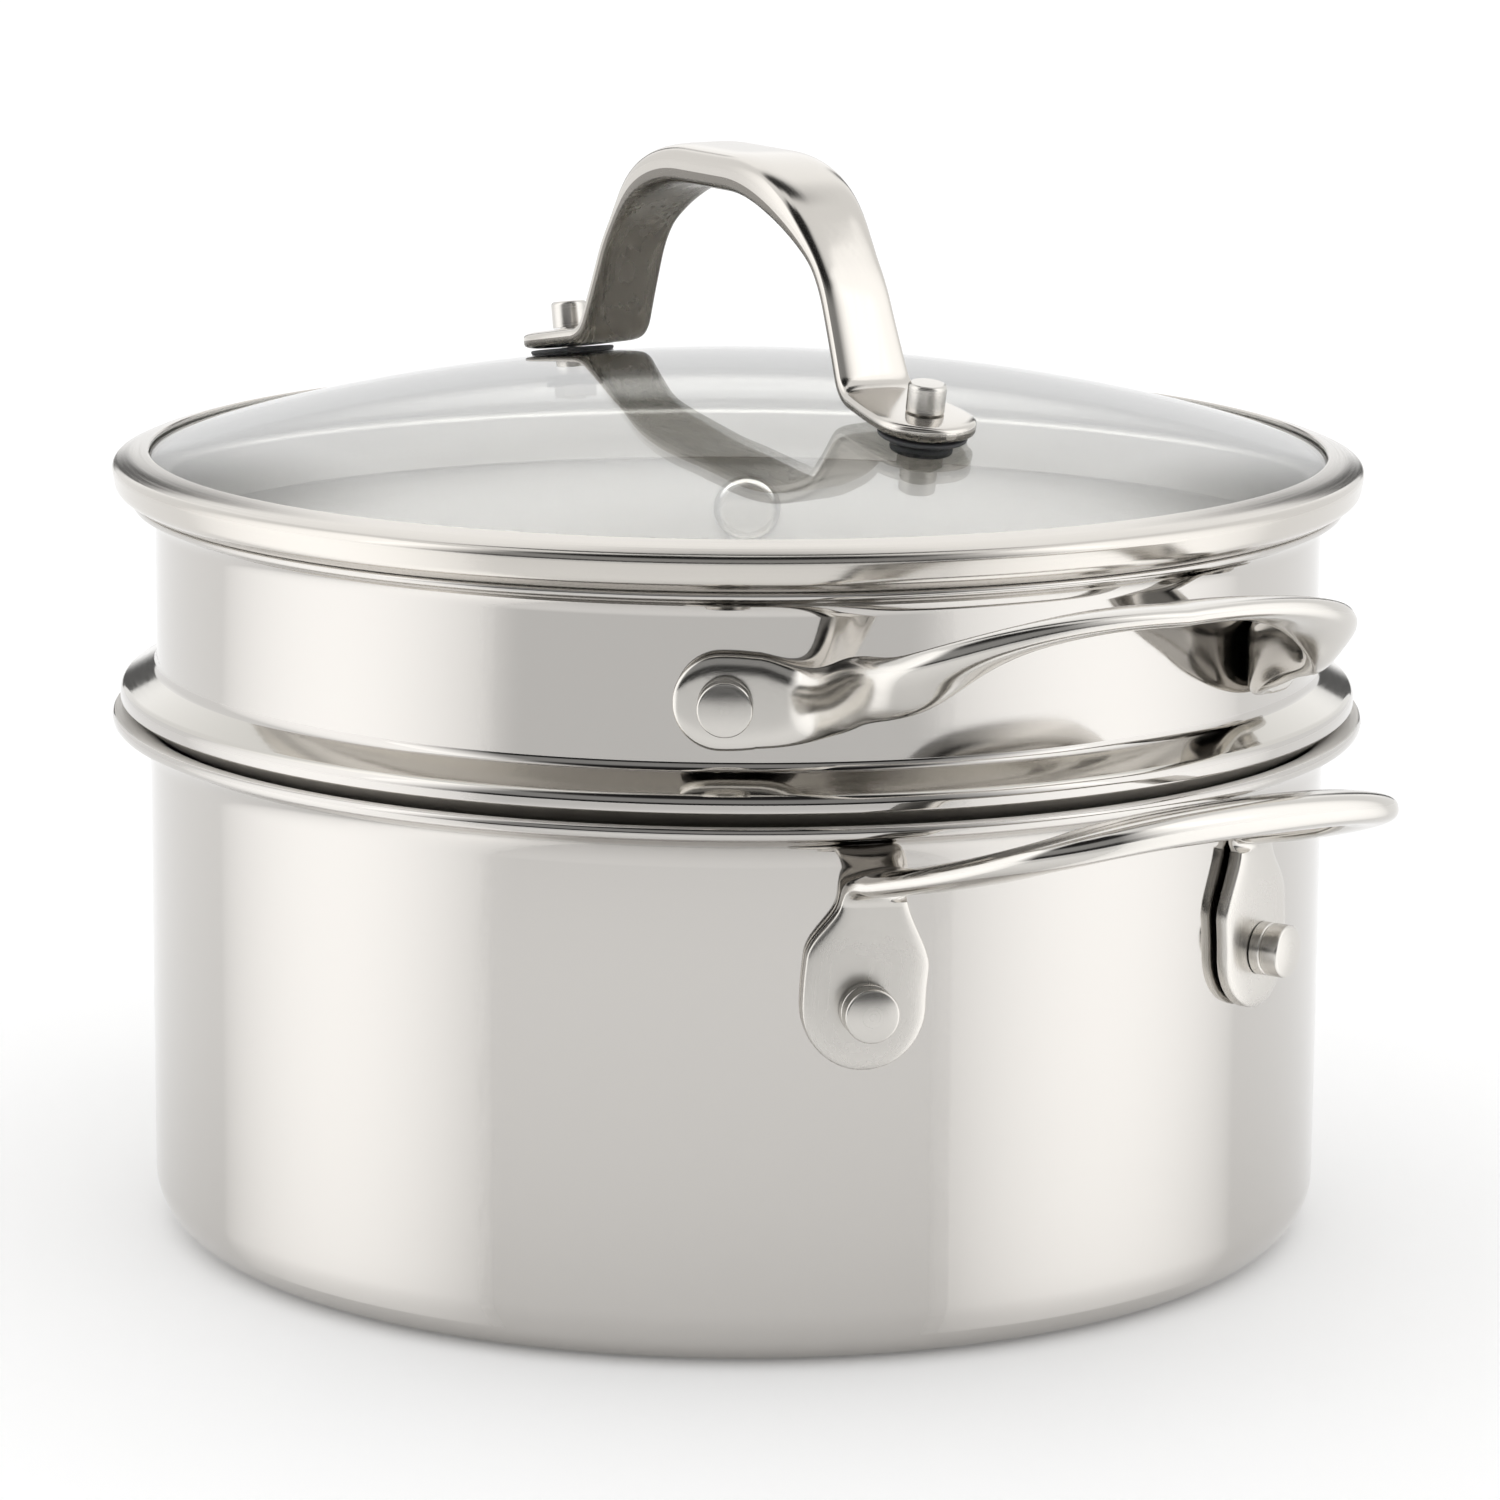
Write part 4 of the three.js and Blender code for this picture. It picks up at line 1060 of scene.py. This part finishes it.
def card(name, spot, glow, clear):
    """A card that shows in metal and through glass, unless told otherwise, but not to the camera
    itself. Its spots, its glow and how clear it is follow its shares u and v."""
    points, glows, clears, faces = [], [], [], []
    for i in range(CARD_STEPS + 1):
        for j in range(CARD_STEPS + 1):
            u, v = i / CARD_STEPS, j / CARD_STEPS
            points.append(spot(u, v))
            glows.append(glow(u, v))
            clears.append(clear(u, v))
    row = CARD_STEPS + 1
    for i in range(CARD_STEPS):
        for j in range(CARD_STEPS):
            k = i * row + j
            faces.append((k, k + 1, k + row + 1, k + row))
    mesh = bpy.data.meshes.new(name)
    mesh.from_pydata(points, [], faces)
    mesh.attributes.new("glow", "FLOAT", "POINT").data.foreach_set("value", glows)
    mesh.attributes.new("clear", "FLOAT", "POINT").data.foreach_set("value", clears)
    mesh.materials.append(LIGHT)
    made = bpy.data.objects.new(name, mesh)
    bpy.context.scene.collection.objects.link(made)
    made.visible_camera = made.visible_diffuse = made.visible_shadow = False
    return made


def no_glow(u, v):
    """A card that gives no light."""
    return 0


def all_clear(u, v):
    """A card that hides nothing."""
    return 1


def around(azimuth, radius, height):
    """A spot round the pot's axis."""
    a = math.radians(VIEW + azimuth)
    return Vector((radius * math.sin(a), -radius * math.cos(a), height))


def on_sphere(azimuth, rise, radius):
    """A spot on a sphere about the pot."""
    a = math.radians(rise)
    return around(azimuth, radius * math.cos(a), radius * math.sin(a))


def mirrored(azimuth, run):
    """The spot on the floor, this far away, that the pot's wall shows at one azimuth."""
    wall = POT_R * MM
    a = math.radians(azimuth)
    seen = math.atan2(wall * math.sin(a), -CAMERA_PLACE.y - wall * math.cos(a))
    return around(azimuth, wall, PANEL_LIFT) + around(2 * azimuth + math.degrees(seen), run, 0)


def panel_run(v):
    """Distance along a panel on the floor, in finer steps near the pot."""
    return PANEL_FAR * v**2


def side_light(name, band):
    """A panel on the floor, mirrored as an upright band of the wall, and a softbox behind it."""
    def glow(u, v):
        return PANEL_PEAK * max(math.sin(math.pi * u), 0) ** PANEL_FALL

    def fading(u, v):
        run = panel_run(v)
        return glow(u, v) * smooth(run, *PANEL_NEAR_METRES) * (1 - smooth(run, *PANEL_FAR_METRES))

    def on_floor(u, v):
        return mirrored(mix(*band, u), panel_run(v))

    def upright(u, v):
        return mirrored(mix(*band, u), PANEL_FAR) + UP * SOFTBOX_HIGH * v

    card(f"{name}_panel", on_floor, fading, all_clear)
    card(f"{name}_softbox", upright, glow, all_clear)


def front_spot(u, v):
    """The floor between the two panels."""
    return mirrored(mix(*FRONT_BAND, u), panel_run(v))


def front_clearness(u, v):
    """The floor gets a little darker towards the camera."""
    side = smooth(min(u, 1 - u), 0, FRONT_SIDE_FADE)
    return 1 - FRONT_DARK * side * smooth(panel_run(v), *FRONT_NEAR_METRES)


def room_spot(u, v):
    """The dark room reaches from the floor on the camera's side to beyond the zenith."""
    return on_sphere(ROOM_SIDE * (2 * u - 1), ROOM_TOP * v, ROOM_R)


def room_glow(u, v):
    """The dark room has a lighter band between its foot and its top."""
    rise = ROOM_TOP * v
    return mix(ROOM_GLOW, BAND_GLOW, smooth(rise, *BAND_FOOT_RISE) * (1 - smooth(rise, *BAND_HEAD_RISE)))


def room_clearness(u, v):
    """The dark room fades out to its sides and behind the pot, with a window over the pot."""
    off_window = abs(ROOM_TOP * v - WINDOW_RISE)
    window = smooth(off_window, WINDOW_HALF - WINDOW_SOFT, WINDOW_HALF + WINDOW_SOFT)
    return 1 - smooth(min(u, 1 - u), 0, ROOM_SIDE_FADE) * (1 - smooth(v, ROOM_TOP_FADE, 1)) * window


def flag(name, side):
    """A narrow dark flag behind the pot, just out of the picture, that draws its edges."""
    def spot(u, v):
        return on_sphere(side * mix(FLAG_NEAR, FLAG_FAR, u), FLAG_TOP * v, ROOM_R)

    def clear(u, v):
        across = smooth(u, 0, FLAG_NEAR_FADE) * (1 - smooth(u, FLAG_FAR_FADE, 1))
        return 1 - FLAG_DARK * across * (1 - smooth(v, FLAG_TOP_FADE, 1))

    card(name, spot, lambda u, v: FLAG_GLOW, clear).visible_transmission = False


def back_spot(u, v):
    """The backdrop behind the pot."""
    return on_sphere(180 + BACK_SIDE * (2 * u - 1), mix(BACK_LOW, BACK_TOP, v), BACK_R)


def back_glow(u, v):
    """The light on the backdrop fades out to all sides."""
    across = smooth(min(u, 1 - u), 0, BACK_SIDE_FADE)
    return BACK_GLOW * across * smooth(min(v, 1 - v), 0, BACK_END_FADE)


def overhead_spot(u, v):
    """A level disc over the lid."""
    return around(360 * u, OVERHEAD_R * v, OVERHEAD_Z)


def overhead_glow(u, v):
    """The softbox fades out to its edge."""
    return OVERHEAD_GLOW * (1 - smooth(v, OVERHEAD_FADE, 1))


def surround_spot(u, v):
    """A low screen all round the pot."""
    return around(360 * u, SURROUND_R, SURROUND_TOP * v)


def surround_clearness(u, v):
    """The screen fades out to its top."""
    return mix(SURROUND_CLEAR, 1, smooth(v, SURROUND_FADE, 1))


side_light("left", LEFT_BAND)
side_light("right", RIGHT_BAND)
card("front_floor", front_spot, no_glow, front_clearness)
card("back_light", back_spot, back_glow, all_clear).visible_transmission = False
flag("left_flag", -1)
flag("right_flag", 1)
card("dark_room", room_spot, room_glow, room_clearness).visible_transmission = False
# Both are seen only through the glass, where the softbox lights the inside of the steamer
card("overhead", overhead_spot, overhead_glow, all_clear).visible_glossy = False
card("surround", surround_spot, no_glow, surround_clearness).visible_glossy = False

scene = bpy.context.scene
floor_mesh = bpy.data.meshes.new("floor")
floor_corners = [(x * FLOOR_HALF, y * FLOOR_HALF, 0) for x, y in ((-1, -1), (1, -1), (1, 1), (-1, 1))]
floor_mesh.from_pydata(floor_corners, [], [(0, 1, 2, 3)])
floor_mesh.materials.append(PAPER)
floor = bpy.data.objects.new("floor", floor_mesh)
scene.collection.objects.link(floor)

scene.world = bpy.data.worlds.new("white_studio")
scene.world.use_nodes = True
background = scene.world.node_tree.nodes["Background"]
background.inputs["Color"].default_value = (1, 1, 1, 1)
background.inputs["Strength"].default_value = WORLD_STRENGTH
scene.view_settings.view_transform = "Standard"

# Camera: its turns in radians, its lens and sensor in millimetres and its reach in metres
PITCH = 0.198
YAW = 0.0023
ROLL = 0.0068
LENS = 142.82
SENSOR = 36
CLIP_NEAR = 0.05
CLIP_FAR = 60
forward = Vector((math.sin(YAW) * math.cos(PITCH), math.cos(YAW) * math.cos(PITCH), -math.sin(PITCH)))
right = Vector((math.cos(YAW), -math.sin(YAW), 0))
up = right.cross(forward)
rolled_right = right * math.cos(ROLL) + up * math.sin(ROLL)
rolled_up = up * math.cos(ROLL) - right * math.sin(ROLL)
axes = Matrix([rolled_right, rolled_up, -forward]).transposed()
camera = bpy.data.objects.new("camera", bpy.data.cameras.new("camera"))
scene.collection.objects.link(camera)
camera.data.lens = LENS
camera.data.sensor_width = SENSOR
camera.data.clip_start = CLIP_NEAR
camera.data.clip_end = CLIP_FAR
aim = Matrix.Translation(CAMERA_PLACE) @ axes.to_4x4()
camera.matrix_world = Matrix.Rotation(math.radians(VIEW), 4, "Z") @ aim
scene.camera = camera
